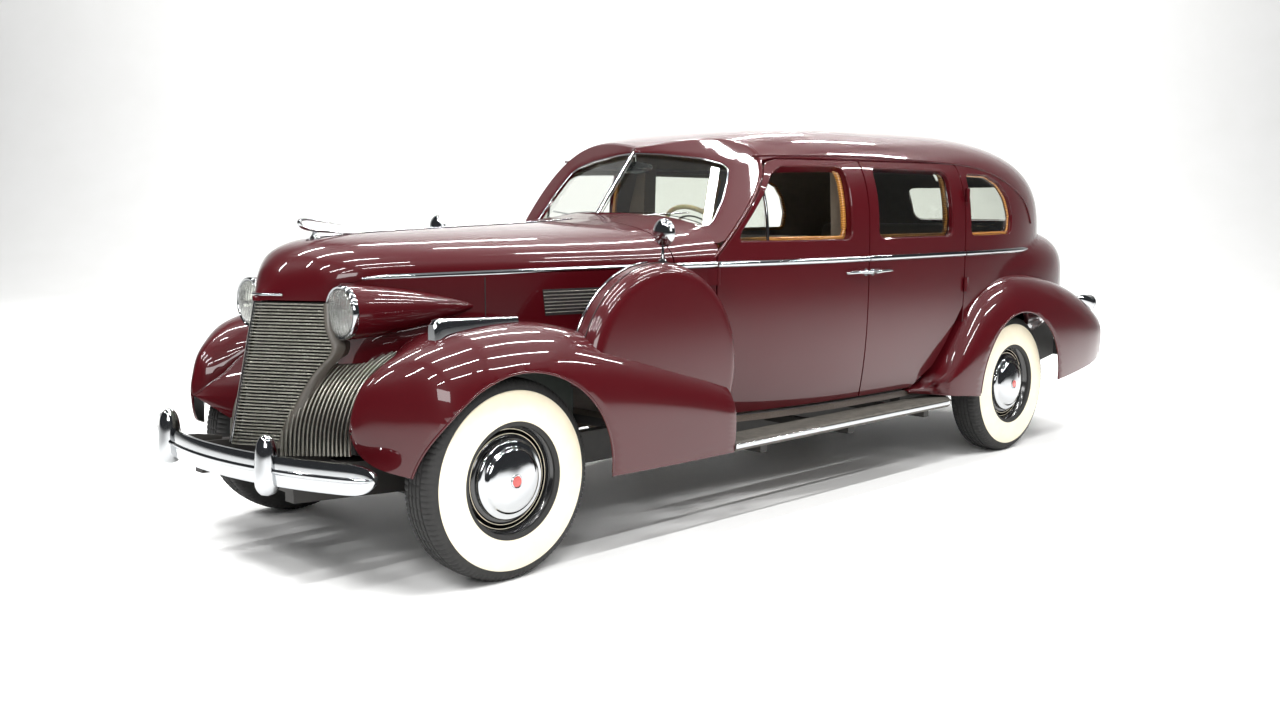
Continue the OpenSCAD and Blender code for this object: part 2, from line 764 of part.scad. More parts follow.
// Its front edge is turned about the hinge line, so that it swings past the front door
module rear_door() {
  color("#4a0f16") difference() {
    intersection() {
      cabin_shell();
      side_prism(300, 1100) offset(-panel_gap / 2) rear_door_outline();
      translate([hinge_x(door_rear), door_rear, 0]) cylinder(r = door_swing, h = roof_z, $fn = 240);
    }
    side_prism(300, 1100) rear_window_outline();
  }
}
module door_glass() {
  color("#9fb4b8", 0.4) intersection() {
    difference() {
      cabin_solid(26, 26);
      cabin_solid(26 + glass_t, 26 + glass_t);
    }
    side_prism(300, 1100) offset(-seat_gap) children();
  }
}
module door_glass_front() {
  door_glass() intersection() {
    front_window_outline();
    translate([1300, 1200]) square([262, 400]);
  }
}
module door_glass_rear() {
  door_glass() rear_window_outline();
}
// Outer face of the cabin wall in front of the tail
function wall_x(s, z) = z < belt_z ? smooth(plan, s) - tuck(z)
  : smooth(plan, s) * pow(1 - pow((z - belt_z) / (roof_z - smooth(roof_drop, s) - belt_z), 3.4), 0.25);
function hinge_x(s) = smooth(plan, s) + hinge_d / 2 + (s < tail_st - 100 ? seat_gap : rear_hinge_in);
function trunk_top(s) = (trunk_z + trunk_low) / 2
  + (trunk_z - trunk_low) / 2 * pow(1 - pow((s - tail_st) / (trunk_end - tail_st), 3.2), 0.25);
// Door hinges: station, bottom z, side of the leaf, lift of the leaf off the smooth wall
hinge_rows = [
  [door_front, 590, -1, -1.2], [door_front, 1040, -1, 0.2],
  [door_rear, 930, 1, -0.1], [door_rear, 1400, 1, -1.7]];
// Barrel on the hinge line with a leaf that reaches back to the fixed wall
module door_hinge(s, z, way, lift) {
  reach = [s + way * 8, s + way * 46];
  translate([hinge_x(s), s, z]) cylinder(d = hinge_d, h = hinge_l);
  translate([0, 0, z]) linear_extrude(hinge_l) polygon([[hinge_x(s) + 7, s], [hinge_x(s) - 2, s + way * 2],
    [max(wall_x(reach[0], z), wall_x(reach[0], z + hinge_l)) + lift, reach[0]],
    [max(wall_x(reach[1], z), wall_x(reach[1], z + hinge_l)) + lift, reach[1]]]);
}
// Hinge pin of a lid, sunk in the gap at its edge
module lid_pin(s, z) {
  translate([-60, s, z - 3]) rotate([0, 90, 0]) cylinder(d = panel_gap - 1, h = 120);
}
module hinges() {
  color("#c9ccd0") {
    both_sides() {
      for (r = hinge_rows) door_hinge(r[0], r[1], r[2], r[3]);
    }
    lid_pin(cowl_seam + panel_gap / 2, smooth(hood_crown, cowl_seam));
    lid_pin(lid_front + panel_gap / 2, trunk_top(lid_front));
  }
}

// Cabin fittings
module dashboard() {
  color("#8a6238") {
    side_prism(-580, 580) polygon([[1250, 1010], [1350, 980], [1372, 1150], [1320, 1205], [1250, 1205]]);
    translate([wheel_x, wheel_st, wheel_z]) rotate([90 + column_tilt, 0, 0])
      translate([0, 0, hub_l + seat_gap]) cylinder(d = column_d, h = column_l);
  }
}
module seat_profile(depth, high, lean) {
  offset(45) offset(-45) polygon([[0, 0], [depth, 0], [depth + lean, high], [lean - 25, high + 15]]);
}
// Bench with its cushion bottom at z, on a box of the given height
module bench(s, z, depth, box_h) {
  translate([-seat_w / 2, s, z]) rotate([90, 0, 90]) linear_extrude(seat_w) {
    seat_profile(depth, cushion_h, 0);
    translate([depth - 40, 60]) seat_profile(160, seat_back_h, 90);
    if (box_h > 0) translate([40, -box_h]) square([depth - 60, box_h + 60]);
  }
}
module front_seat() {
  color("#8b7d6b") bench(1720, rail_top + floor_t + 165, 500, 165);
}
module rear_seat() {
  color("#8b7d6b") bench(heel_st + 20, rear_floor_z + floor_t, 520, 0);
}

// Masses and running gear
module engine() {
  color("#5a6a5a") {
    block(-230, 230, 100, 850, 440, 960);
    block(-rail_out, rail_out, 420, 500, rail_top, 470);
  }
}
module rear_axle() {
  color("#2a2a2c") {
    translate([-rear_track / 2 + tyre_w / 2 + 20, rear_st, axle_z]) rotate([0, 90, 0])
      cylinder(d = 84, h = rear_track - tyre_w - 40);
    translate([-rear_track / 2 - spindle_out, rear_st, axle_z]) rotate([0, 90, 0])
      cylinder(d = spindle_d, h = rear_track + 2 * spindle_out);
    translate([0, rear_st, axle_z]) rotate([0, 90, 0]) cylinder(d = 290, h = 160, center = true);
    translate([0, 1240, axle_z - 95]) rotate([-90, 0, 0]) cylinder(d = 76, h = rear_st - 1240);
    both_sides() block(spring_x - spring_w / 2, spring_x + spring_w / 2, spring_front, spring_rear,
      spring_top - 44, spring_top);
  }
}
module exhaust() {
  color("#6a6a6a") translate([exhaust_x, 0, exhaust_z]) {
    translate([0, 900, 0]) rotate([-90, 0, 0]) cylinder(d = pipe_d, h = tail_pipe_end - tip_l - 900);
    translate([0, tail_pipe_end - tip_l, 0]) rotate([-90, 0, 0]) cylinder(d = tip_d, h = tip_l);
    translate([0, 1420, 0]) rotate([-90, 0, 0]) cylinder(d = 140, h = 720);
    for (s = [1180, 2330]) block(-12, 12, s, s + 30, 0, hanger_z - exhaust_z);
    block(-12, 12, 4660, 4690, 0, tail_rail_z + 10 - exhaust_z);
  }
}
module fuel_tank() {
  color("#2a2a2c") {
    block(-160, 320, rear_st + 330, rear_st + 830, 240, tail_rail_z - 30);
    for (s = [rear_st + 640, rear_st + 780]) block(rail_in, rail_in + 30, s, s + 40, 300, tail_rail_z);
    for (s = [rear_st + 640, rear_st + 780]) block(300, rail_in + 1, s, s + 40, 300, 330);
  }
}
module front_suspension() {
  color("#2a2a2c") {
    block(-rail_in, rail_in, -60, 60, 240, 300);
    both_sides() {
      block(rail_in - 10, kingpin_x + 24, -30, 30, 245, 272);
      block(rail_in, kingpin_x + 24, -30, 30, 476, 504);
      block(rail_in, rail_out, -30, 30, rail_top + 22, 504);
      translate([kingpin_x, 0, 245]) cylinder(d = kingpin_d, h = 259);
    }
  }
}
module knuckle() {
  color("#3a3a3c") difference() {
    union() {
      translate([kingpin_x, 0, 272 + seat_gap]) cylinder(d = 60, h = 204 - 2 * seat_gap);
      translate([kingpin_x, 0, axle_z]) rotate([0, 90, 0])
        cylinder(d = spindle_d, h = front_track / 2 + spindle_out - kingpin_x);
    }
    translate([kingpin_x, 0, 200]) cylinder(d = kingpin_d + 2 * pin_gap, h = 400);
  }
}
module steering_wheel() {
  color("#e4d9b8") translate([wheel_x, wheel_st, wheel_z]) rotate([90 + column_tilt, 0, 0]) {
    rotate_extrude($fn = 72) translate([wheel_d / 2 - 12, 0]) circle(12, $fn = 20);
    cylinder(d = 70, h = 16, center = true);
    for (a = [0, 120, 240]) rotate([0, 0, a + 90]) translate([0, -7, -5]) cube([wheel_d / 2 - 12, 14, 10]);
  }
}
module tyre() {
  color("#1c1c1d") rotate([0, 90, 0]) rotate_extrude($fn = 64) {
    difference() {
      translate([0, -tyre_w / 2]) offset(44, $fn = 20) offset(-44) translate([rim_d / 2 - 16, 0])
        square([(tyre_d - rim_d) / 2 + 16, tyre_w]);
      translate([0, -tyre_w]) square([rim_d / 2 - 15.5, 2 * tyre_w]);
    }
  }
}
module road_wheel() {
  color("#171717") rotate([0, 90, 0]) difference() {
    rotate_extrude($fn = 64) polygon([[0, -28], [74, -28], [84, 24], [170, 38], [184, -70], [204, -78],
      [204, 78], [rim_d / 2 - 16, 78], [rim_d / 2 - 16, 84], [196, 84], [176, 58], [hubcap_d / 2, 62],
      [hubcap_d / 2 - 20, 84], [90, 96], [50, 102], [0, 104]]);
    translate([0, 0, -60]) cylinder(d = spindle_d + 2 * pin_gap, h = 80);
  }
}
module wheel_at(side, front) {
  x = (front ? front_track : rear_track) / 2;
  translate([side * x, front ? 0 : rear_st, axle_z]) mirror([side < 0 ? 1 : 0, 0, 0]) children();
}
module placed() {
  translate([0, -mid_st, 0]) children();
}

placed() frame();
placed() floor();
placed() cowl();
placed() windshield();
placed() roof();
placed() quarter_panels();
placed() tail_panel();
placed() fixed_glass();
placed() pillars();
placed() hood();
placed() hood_sides();
placed() radiator_grille();
placed() fender_grilles();
placed() front_fenders();
placed() rear_fenders();
placed() spare_covers();
placed() mirrors();
placed() running_boards();
placed() front_bumper();
placed() rear_bumper();
placed() headlamps();
placed() headlamp_lenses();
placed() parking_lamps();
placed() tail_lamps();
placed() hinges();
placed() dashboard();
placed() front_seat();
placed() rear_seat();
placed() engine();
placed() rear_axle();
placed() exhaust();
placed() fuel_tank();
placed() front_suspension();
placed() front_door();  // front_door_left
placed() mirror([1, 0, 0]) front_door();  // front_door_right
placed() rear_door();  // rear_door_left
placed() mirror([1, 0, 0]) rear_door();  // rear_door_right
placed() door_glass_front();  // door_glass_front_left
placed() mirror([1, 0, 0]) door_glass_front();  // door_glass_front_right
placed() door_glass_rear();  // door_glass_rear_left
placed() mirror([1, 0, 0]) door_glass_rear();  // door_glass_rear_right
placed() trunk_lid();
placed() steering_wheel();
placed() knuckle();  // knuckle_left
placed() mirror([1, 0, 0]) knuckle();  // knuckle_right
placed() wheel_at(1, true) tyre();  // tyre_front_left
placed() wheel_at(-1, true) tyre();  // tyre_front_right
placed() wheel_at(1, false) tyre();  // tyre_rear_left
placed() wheel_at(-1, false) tyre();  // tyre_rear_right
placed() wheel_at(1, true) road_wheel();  // wheel_front_left
placed() wheel_at(-1, true) road_wheel();  // wheel_front_right
placed() wheel_at(1, false) road_wheel();  // wheel_rear_left
placed() wheel_at(-1, false) road_wheel();  // wheel_rear_right
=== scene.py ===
import math

import bmesh
import bpy
import numpy as np
from mathutils import Matrix, Vector
from mathutils.geometry import delaunay_2d_cdt


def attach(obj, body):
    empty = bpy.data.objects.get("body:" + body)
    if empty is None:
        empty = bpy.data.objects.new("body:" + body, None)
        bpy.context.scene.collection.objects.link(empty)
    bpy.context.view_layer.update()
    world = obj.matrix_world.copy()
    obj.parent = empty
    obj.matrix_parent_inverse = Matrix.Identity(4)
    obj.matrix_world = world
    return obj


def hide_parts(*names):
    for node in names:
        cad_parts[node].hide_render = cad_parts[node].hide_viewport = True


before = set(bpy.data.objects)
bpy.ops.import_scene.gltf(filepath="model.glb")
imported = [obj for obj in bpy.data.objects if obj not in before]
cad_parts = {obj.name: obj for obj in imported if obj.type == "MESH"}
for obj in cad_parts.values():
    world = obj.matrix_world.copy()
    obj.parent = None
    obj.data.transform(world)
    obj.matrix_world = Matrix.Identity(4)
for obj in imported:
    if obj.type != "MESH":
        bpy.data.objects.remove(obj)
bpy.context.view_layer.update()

bl_info = {
    "name": "Seven-passenger sedan",
    "version": (1, 0, 0),
    "blender": (4, 5, 0),
    "location": "View3D > Sidebar > Sedan",
    "description": "Dresses the packed sedan: panels, bright work, wheels, cabin and studio",
    "category": "Object",
}

MM = 0.001
# Points of a piece that lie closer than this, in mm, are one
WELD = 0.02
# Direction of the camera, in radians
CAMERA_YAW, CAMERA_PITCH = -0.7916, -0.1260
# The two sides of the car, with the sign of their x
SIDES = (("left", 1), ("right", -1))
# Station, in mm behind the front axle, at which the frame has its origin
MID_STATION = 2055.0


# Shape of the body, in mm: x to the car's left, station from the front axle, z up

WHEELBASE = 3581.0
AXLE_Z = 383.0
BELT_Z = 1128.0
ROOF_Z = 1782.0
SILL_Z = 445.0
TAIL_ST = 3100.0
CABIN_END = 4520.0
TRUNK_END = 4838.0
TRUNK_MID = 910.0
TRUNK_HALF = 390.0
TRUNK_START = 3308.0
# Rounding between cabin and luggage compartment: radius, station where it begins, run
BLEND, BLEND_ST, BLEND_RUN = 70.0, 4330.0, 200.0
HUB_Z = 830.0
SPARE_ST = 784.0
SPARE_Z = 720.0
BUMPER_R = 1800.0
BUMPER_Z = 465.0
COWL_ST = 1055.0
DOOR_FRONT = 1270.0
DOOR_SPLIT = 2220.0
DOOR_REAR = 3072.0
DOOR_TOP = 1602.0
PANE_ST = 1212.0
PANE_Z = 1347.0
RAKE = math.radians(38.1)
SWEEP = math.radians(15.7)

# Half width of the body at the belt: station, half width
PLAN = [(-552, 22), (-500, 105), (-450, 185), (-400, 252), (-300, 318), (-150, 364), (0, 404),
        (400, 502), (800, 600), (1055, 658), (1270, 714), (1600, 792), (2000, 842), (2400, 860),
        (2900, 866), (3100, 866), (3600, 856), (4100, 838), (4600, 815)]
# Roof height over the middle line: station, drop below the crown
ROOF_DROP = [(1100, 290), (1300, 195), (1450, 126), (1600, 76), (1800, 36), (2050, 12),
             (2350, 1), (2700, 0), (3100, 0)]
# Hood height over the middle line: station, height
HOOD_CROWN = [(-552, 1052), (-526, 1092), (-490, 1163), (-403, 1232), (-271, 1266), (102, 1288),
              (462, 1300), (829, 1313), (1055, 1327), (1212, 1347), (1500, 1380)]
# Height at which the hood turns upright: station, height
HOOD_SHOULDER = [(-552, 1034), (-500, 1045), (-450, 1062), (-400, 1085), (-300, 1112),
                 (-200, 1121), (0, 1125), (1500, 1125)]
# Front fender: station, inner x, inner z, ridge x, ridge z, outer x, waist z, bottom z
FRONT_FENDER = [(-537, 611, 602, 617, 612, 623, 602, 592), (-522, 595, 600, 616, 690, 654, 590, 525),
                (-488, 572, 640, 628, 764, 705, 590, 480), (-420, 552, 690, 652, 828, 795, 590, 448),
                (-338, 530, 765, 684, 878, 888, 595, 424), (-280, 490, 805, 692, 902, 920, 602, 406),
                (-180, 398, 838, 698, 931, 945, 608, 389), (-150, 372, 842, 700, 938, 952, 610, 384),
                (50, 424, 842, 700, 954, 965, 610, 365), (250, 472, 836, 705, 944, 967, 605, 355),
                (450, 522, 810, 715, 895, 966, 590, 350), (700, 582, 760, 730, 815, 963, 560, 345),
                (950, 642, 695, 745, 730, 958, 520, 342), (1140, 690, 630, 760, 660, 952, 480, 340)]
# Rear fender: station, inner x, top z, outer x, waist z, bottom z
REAR_FENDER = [(2640, 780, 440, 824, 432, 420), (2800, 780, 470, 872, 440, 402),
               (2880, 780, 535, 925, 470, 392), (3010, 780, 702, 958, 535, 380),
               (3190, 770, 885, 976, 590, 364), (3430, 760, 990, 988, 615, 358),
               (3680, 755, 1004, 990, 615, 362), (3990, 740, 972, 985, 600, 380),
               (4200, 720, 928, 974, 590, 400), (4400, 690, 870, 955, 580, 422),
               (4560, 650, 806, 925, 575, 448), (4650, 640, 755, 885, 575, 470),
               (4692, 700, 640, 740, 600, 570)]
# Radiator grille: height, half width
GRILLE = [(492, 172), (550, 192), (625, 214), (700, 236), (775, 270), (830, 308), (868, 318),
          (900, 302), (940, 282), (1030, 262)]
GRILLE_ST = -552.0
GRILLE_TOP = 1030.0
GRILLE_LEAN = 0.224
GRILLE_SWEEP = 0.57


def smooth(table, s, col=1):
    """Cubic through the rows of a table, read at s."""
    t = np.asarray(table, float)
    s = np.asarray(s, float)
    n = np.arange(len(t))
    a, b = np.maximum(n - 1, 0), np.minimum(n + 1, len(t) - 1)
    m = (t[b, col] - t[a, col]) / (t[b, 0] - t[a, 0])
    i = np.clip(np.searchsorted(t[:, 0], s, side="right") - 1, 0, len(t) - 2)
    h = t[i + 1, 0] - t[i, 0]
    u = np.clip((s - t[i, 0]) / h, 0, 1)
    return (t[i, col] * (1 + 2 * u) * (1 - u) ** 2 + m[i] * h * u * (1 - u) ** 2
            + t[i + 1, col] * u * u * (3 - 2 * u) + m[i + 1] * h * u * u * (u - 1))


def bow(a, n):
    """Superellipse factor: 1 at 0 degrees, 0 at 90 degrees."""
    return np.clip(np.cos(np.radians(a)), 0, 1) ** (2 / n)


def tail_share(s):
    """Share of the section that is left where the cabin runs out at the back."""
    return np.clip(1 - np.clip((s - TAIL_ST) / (CABIN_END - TAIL_ST), 0, None) ** 2.2, 0, 1)


def tuck(z):
    """How far the side draws in below the belt."""
    return 50 * np.clip((BELT_Z - z) / (BELT_Z - SILL_Z), 0, 1.2) ** 3


def cabin_height(s):
    """Height of the roof over the belt."""
    return ROOF_Z - smooth(ROOF_DROP, s) - BELT_Z


def cabin_x(s, z):
    """Half width of the cabin at a station and height."""
    s, z = np.asarray(s, float), np.asarray(z, float)
    w, c = smooth(PLAN, s), tail_share(s)
    high = np.clip(c - (np.clip(z - BELT_Z, 0, None) / cabin_height(s)) ** 3.4, 0, 1)
    return np.where(z < BELT_Z, (w - tuck(z)) * c ** 0.25, w * high ** 0.25)


def in_cabin(x, s, z):
    """Which points lie in the cabin."""
    low = np.interp(s, [4000, 4400], [SILL_Z, 545])
    return (np.abs(x) < cabin_x(s, z)) & (tail_share(s) > 0) & (z > low)


def in_trunk(x, s, z):
    """Which points lie in the luggage compartment."""
    c = np.clip(1 - np.clip((s - TAIL_ST) / (TRUNK_END - TAIL_ST), 0, 1) ** 3.2, 1e-12, 1) ** 0.25
    w = smooth(PLAN, s) - 8
    return ((np.abs(x) / (w * c)) ** 4 + (np.abs(z - TRUNK_MID) / (TRUNK_HALF * c)) ** (10 / 3) < 1) & (s > TRUNK_START)


def ray_length(inside, s, angle):
    """How far a ray from the hub of the section runs before it leaves a solid."""
    low, high = np.zeros_like(s), np.full_like(s, 1300.0)
    ca, sa = np.cos(angle), np.sin(angle)
    for _ in range(32):
        mid = (low + high) / 2
        ok = inside(mid * ca, s, HUB_Z + mid * sa)
        low, high = np.where(ok, mid, low), np.where(ok, high, mid)
    return low


def skin(s, angle):
    """Point of the cabin and luggage compartment at a station and an angle about the hub."""
    s, angle = np.broadcast_arrays(np.asarray(s, float), np.asarray(angle, float))
    a, b = ray_length(in_cabin, s, angle), ray_length(in_trunk, s, angle)
    k = 1e-6 + BLEND * np.clip((s - BLEND_ST) / BLEND_RUN, 0, 1)
    h = np.clip(k - np.abs(a - b), 0, None) / k
    r = np.maximum(a, b) + h * h * k / 4
    return np.stack([r * np.cos(angle), s, HUB_Z + r * np.sin(angle)], -1)


def skin_angle(s, z):
    """Angle about the hub of a point on the cabin side."""
    return np.arctan2(z - HUB_Z, cabin_x(s, z))


def hood_point(s, a):
    """Point of the hood at a station and an angle from its shoulder."""
    w, b = smooth(PLAN, s), smooth(HOOD_SHOULDER, s)
    h = smooth(HOOD_CROWN, s) - b
    return np.stack([w * bow(a, 2.3), s + 0 * a, b + h * bow(90 - a, 2.3)], -1)


def pane_station(x, z):
    """Station of the swept and raked windshield plane."""
    return PANE_ST + np.abs(x) * math.tan(SWEEP) + (z - PANE_Z) * math.tan(RAKE) / math.cos(SWEEP)


# Mesh building


def in_frame(points):
    """Points in the shared frame, in metres."""
    p = np.asarray(points, float).reshape(-1, 3)
    return (p - (0, MID_STATION, 0)) * MM


class Stock:
    """Points and faces of one piece, in mm, gathered before it becomes an object."""

    def __init__(self):
        self.points, self.faces, self.finish = [], [], []
        self.count = 0

    def add(self, points, faces, finish=0):
        """Adds points, and faces that number them from 0."""
        points = np.asarray(points, float).reshape(-1, 3)
        self.points.append(points)
        for f in faces:
            self.faces.append([int(i) + self.count for i in f])
            self.finish.append(finish)
        self.count += len(points)
        return self

    def grid(self, points, finish=0, close_u=False, close_v=False):
        """Adds a sheet of points in rows and columns."""
        p = np.asarray(points, float)
        nu, nv = p.shape[:2]
        faces = []
        for i in range(nu if close_u else nu - 1):
            for j in range(nv if close_v else nv - 1):
                k, m = (i + 1) % nu, (j + 1) % nv
                faces.append((i * nv + j, k * nv + j, k * nv + m, i * nv + m))
        return self.add(p, faces, finish)

    def plate(self, points, depth, finish=0, inner=None):
        """Grid with a thickness along its own normals."""
        p = np.asarray(points, float)
        du, dv = np.gradient(p, axis=0), np.gradient(p, axis=1)
        n = np.cross(du, dv)
        n /= np.linalg.norm(n, axis=-1, keepdims=True) + 1e-12
        back = p - n * depth
        self.grid(p, finish)
        self.grid(back[::-1], finish if inner is None else inner)
        for edge in ((p[0], back[0]), (back[-1], p[-1]), (p[:, 0], back[:, 0]), (back[:, -1], p[:, -1])):
            self.grid(np.stack(edge), finish)
        return self

    def loft(self, rings):
        """Closed bar through rings of points, with both ends filled."""
        ring = tuple(range(len(rings[0])))
        return self.grid(rings, close_v=True).add(rings[0], [ring]).add(rings[-1], [ring[::-1]])

    def turned(self, profile, steps=64, axis="x", at=(0, 0, 0), finish=0):
        """Profile of (radius, height) turned about an axis."""
        profile = np.asarray(profile, float)
        a = np.radians(np.linspace(0, 360, steps, endpoint=False))
        r, h = profile[:, 0][None], profile[:, 1][None]
        c, s = np.cos(a)[:, None], np.sin(a)[:, None]
        along = np.broadcast_to(h, (len(a), len(profile)))
        p = {"x": (along, r * c, r * s), "y": (r * c, along, r * s), "z": (r * c, r * s, along)}[axis]
        return self.grid(np.stack(p, -1) + np.asarray(at, float), finish, close_u=True)

    def mirror(self):
        """Adds the other half of the car."""
        n, faces, finish = self.count, list(self.faces), list(self.finish)
        pts = np.concatenate(self.points)
        self.points.append(pts * (-1, 1, 1))
        for f, m in zip(faces, finish):
            self.faces.append([i + n for i in reversed(f)])
            self.finish.append(m)
        self.count *= 2
        return self

    def to_side(self, k):
        """Moves the piece to the right half of the car where k is negative."""
        if k < 0:
            self.points = [p * (-1, 1, 1) for p in self.points]
            self.faces = [list(reversed(f)) for f in self.faces]
        return self

    def turn(self, matrix):
        self.points = [p @ np.array(matrix).T for p in self.points]
        return self

    def move(self, by):
        self.points = [p + np.asarray(by, float) for p in self.points]
        return self

    def build(self, name, finishes, body="car_body", replaces=(), sharp=38.0):
        """Makes the object; edges sharper than an angle stay sharp."""
        mesh = bpy.data.meshes.new(name)
        mesh.from_pydata(in_frame(np.concatenate(self.points)).tolist(), [], self.faces)
        for m in finishes:
            mesh.materials.append(m)
        mesh.polygons.foreach_set("material_index", self.finish)
        bm = bmesh.new()
        bm.from_mesh(mesh)
        bmesh.ops.remove_doubles(bm, verts=bm.verts, dist=WELD * MM)
        bmesh.ops.dissolve_degenerate(bm, edges=bm.edges, dist=1e-6)
        bmesh.ops.recalc_face_normals(bm, faces=bm.faces)
        bm.to_mesh(mesh)
        bm.free()
        mesh.shade_smooth()
        mesh.set_sharp_from_angle(angle=math.radians(sharp))
        return place_piece(bpy.data.objects.new(name, mesh), body, replaces)


def place_piece(obj, body, replaces=()):
    """Links a piece, hangs it on the body it rides and hides the solids it stands for."""
    if obj.name not in bpy.context.scene.collection.objects:
        bpy.context.scene.collection.objects.link(obj)
    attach(obj, body)
    if replaces:
        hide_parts(*replaces)
    return obj


def resample(points, step, closed=True):
    """Points along a line, no further apart than step."""
    p = np.asarray(points, float)
    q = np.vstack([p, p[:1]]) if closed else p
    out = []
    for a, b in zip(q[:-1], q[1:]):
        n = max(1, int(math.ceil(np.linalg.norm(b - a) / step)))
        out += [a + (b - a) * k / n for k in range(n)]
    if not closed:
        out.append(q[-1])
    return np.array(out)


def rounded(points, radius, step=12.0):
    """Closed outline with its corners rounded; one radius, or one for each corner."""
    p = np.asarray(points, float)
    n = len(p)
    radius = np.broadcast_to(radius, n)
    out = []
    for i in range(n):
        a, b, c = p[i - 1], p[i], p[(i + 1) % n]
        ua, uc = (a - b) / np.linalg.norm(a - b), (c - b) / np.linalg.norm(c - b)
        half = math.acos(np.clip(ua @ uc, -1, 1)) / 2
        cut = min(radius[i] / math.tan(half), 0.46 * np.linalg.norm(a - b), 0.46 * np.linalg.norm(c - b))
        if cut < 0.5:
            out.append(b)
            continue
        k = max(2, int(cut * 2 / step))
        t = np.linspace(0, 1, k + 1)[:, None]
        out += list((1 - t) ** 2 * (b + ua * cut) + 2 * t * (1 - t) * b + t ** 2 * (b + uc * cut))
    return resample(out, step)


def inset(loop, distance):
    """Closed outline drawn in by a distance, or out where it is negative."""
    p = np.asarray(loop, float)
    area = np.sum(p[:, 0] * np.roll(p[:, 1], -1) - np.roll(p[:, 0], -1) * p[:, 1])
    e = np.roll(p, -1, 0) - p
    e /= np.linalg.norm(e, axis=1, keepdims=True) + 1e-12
    left = np.stack([-e[:, 1], e[:, 0]], 1) * np.sign(area)
    n = left + np.roll(left, 1, 0)
    n /= np.maximum(np.sum(n * n, 1, keepdims=True) / 2, 0.5)
    return p + n * distance


def inside_loop(points, loop):
    """Which points lie inside a closed outline."""
    a, b = loop, np.roll(loop, -1, 0)
    x, y = points[:, 0][:, None], points[:, 1][:, None]
    cross = (a[:, 1] > y) != (b[:, 1] > y)
    at = a[:, 0] + (y - a[:, 1]) * (b[:, 0] - a[:, 0]) / np.where(b[:, 1] == a[:, 1], 1e-9, b[:, 1] - a[:, 1])
    return (cross & (x < at)).sum(1) % 2 == 1


def loop_distance(points, loop):
    """Distance of points from a closed outline."""
    best = np.full(len(points), 1e9)
    for a, b in zip(loop, np.roll(loop, -1, 0)):
        d = b - a
        t = np.clip(((points - a) @ d) / (d @ d + 1e-12), 0, 1)[:, None]
        best = np.minimum(best, np.linalg.norm(points - a - t * d, axis=1))
    return best


def panel(outline, holes, place, pitch, depth, inner=0, lip=2.0, seam=None):
    """Panel of even thickness, trimmed to an outline with holes in its own two coordinates.
    Its edges get a small lip. inner is the finish of its back, and seam the second
    coordinate at which a mirrored half joins."""
    stock = Stock()
    loops = [np.asarray(outline, float)] + [np.asarray(h, float) for h in holes]
    shrunk = [inset(loops[0], lip)] + [inset(h, -lip) for h in loops[1:]]
    held = [np.zeros(len(l), bool) if seam is None else np.abs(l[:, 1] - seam) < 1e-6 for l in loops]
    for k, (l, s) in enumerate(zip(loops, shrunk)):
        s[held[k], 1] = l[held[k], 1]
    low, high = loops[0].min(0), loops[0].max(0)
    g = np.stack(np.meshgrid(np.arange(low[0], high[0], pitch), np.arange(low[1], high[1], pitch)), -1)
    g[1::2, :, 0] += pitch / 2
    g = g.reshape(-1, 2)
    g = g[inside_loop(g, shrunk[0])]
    for h in shrunk[1:]:
        g = g[~inside_loop(g, h)]
    for l in shrunk:
        g = g[loop_distance(g, l) > 0.5 * pitch]
    flat = np.vstack(shrunk + [g])
    edges, first = [], 0
    for l in shrunk:
        n = len(l)
        edges += [(first + i, first + (i + 1) % n) for i in range(n)]
        first += n
    verts, _, faces, origin, _, _ = delaunay_2d_cdt([Vector(v) for v in flat], edges, [], 2, 1e-5)
    flat2 = np.array([v[:] for v in verts])
    middle = np.array([flat2[list(f)].mean(0) for f in faces])
    keep = inside_loop(middle, shrunk[0])
    for h in shrunk[1:]:
        keep &= ~inside_loop(middle, h)
    faces = [f for f, k in zip(faces, keep) if k]
    new_of = {}
    for new, olds in enumerate(origin):
        for old in olds:
            new_of[old] = new
    e = 0.5

    def outer(q):
        p = place(q[:, 0], q[:, 1])
        n = np.cross(place(q[:, 0] + e, q[:, 1]) - place(q[:, 0] - e, q[:, 1]),
                     place(q[:, 0], q[:, 1] + e) - place(q[:, 0], q[:, 1] - e))
        n /= np.linalg.norm(n, axis=1, keepdims=True) + 1e-12
        return p, n

    top, normal = outer(flat2)
    centre = np.array([0.0, 0.0, HUB_Z])
    away = top - centre
    away[:, 1] = 0
    sign = np.sign(np.sum(np.sum(away * normal, 1)))
    normal *= sign
    if seam is not None:
        normal[np.abs(flat2[:, 1] - seam) < 1e-6, 0] = 0
    stock.add(top, faces)
    stock.add(top - normal * depth, [tuple(reversed(f)) for f in faces], inner)
    first = 0
    for k, (l, s) in enumerate(zip(loops, shrunk)):
        n = len(l)
        idx = [new_of[first + i] for i in range(n)]
        first += n
        p, m = outer(l)
        m *= sign
        if seam is not None:
            m[held[k], 0] = 0
        rows = np.stack([top[idx], p - m * lip, p - m * (depth - lip), top[idx] - normal[idx] * depth])
        f = []
        for j in range(3):
            for i in range(n):
                i2 = (i + 1) % n
                if held[k][i] and held[k][i2]:
                    continue
                f.append((j * n + i, j * n + i2, (j + 1) * n + i2, (j + 1) * n + i))
        stock.add(rows, f)
    return stock


def side(s, z):
    """Point of the cabin side at a station and height."""
    return np.stack([cabin_x(s, z), s + 0 * z, z + 0 * s], -1)


def sunk(place, depth):
    """The same surface, moved in by a depth."""
    def at(s, z):
        p = place(s, z)
        return p - np.array([depth, 0, 0]) * np.sign(p[..., :1] + 1e-9)
    return at


# Geometry Nodes: a moulding of even section along paths


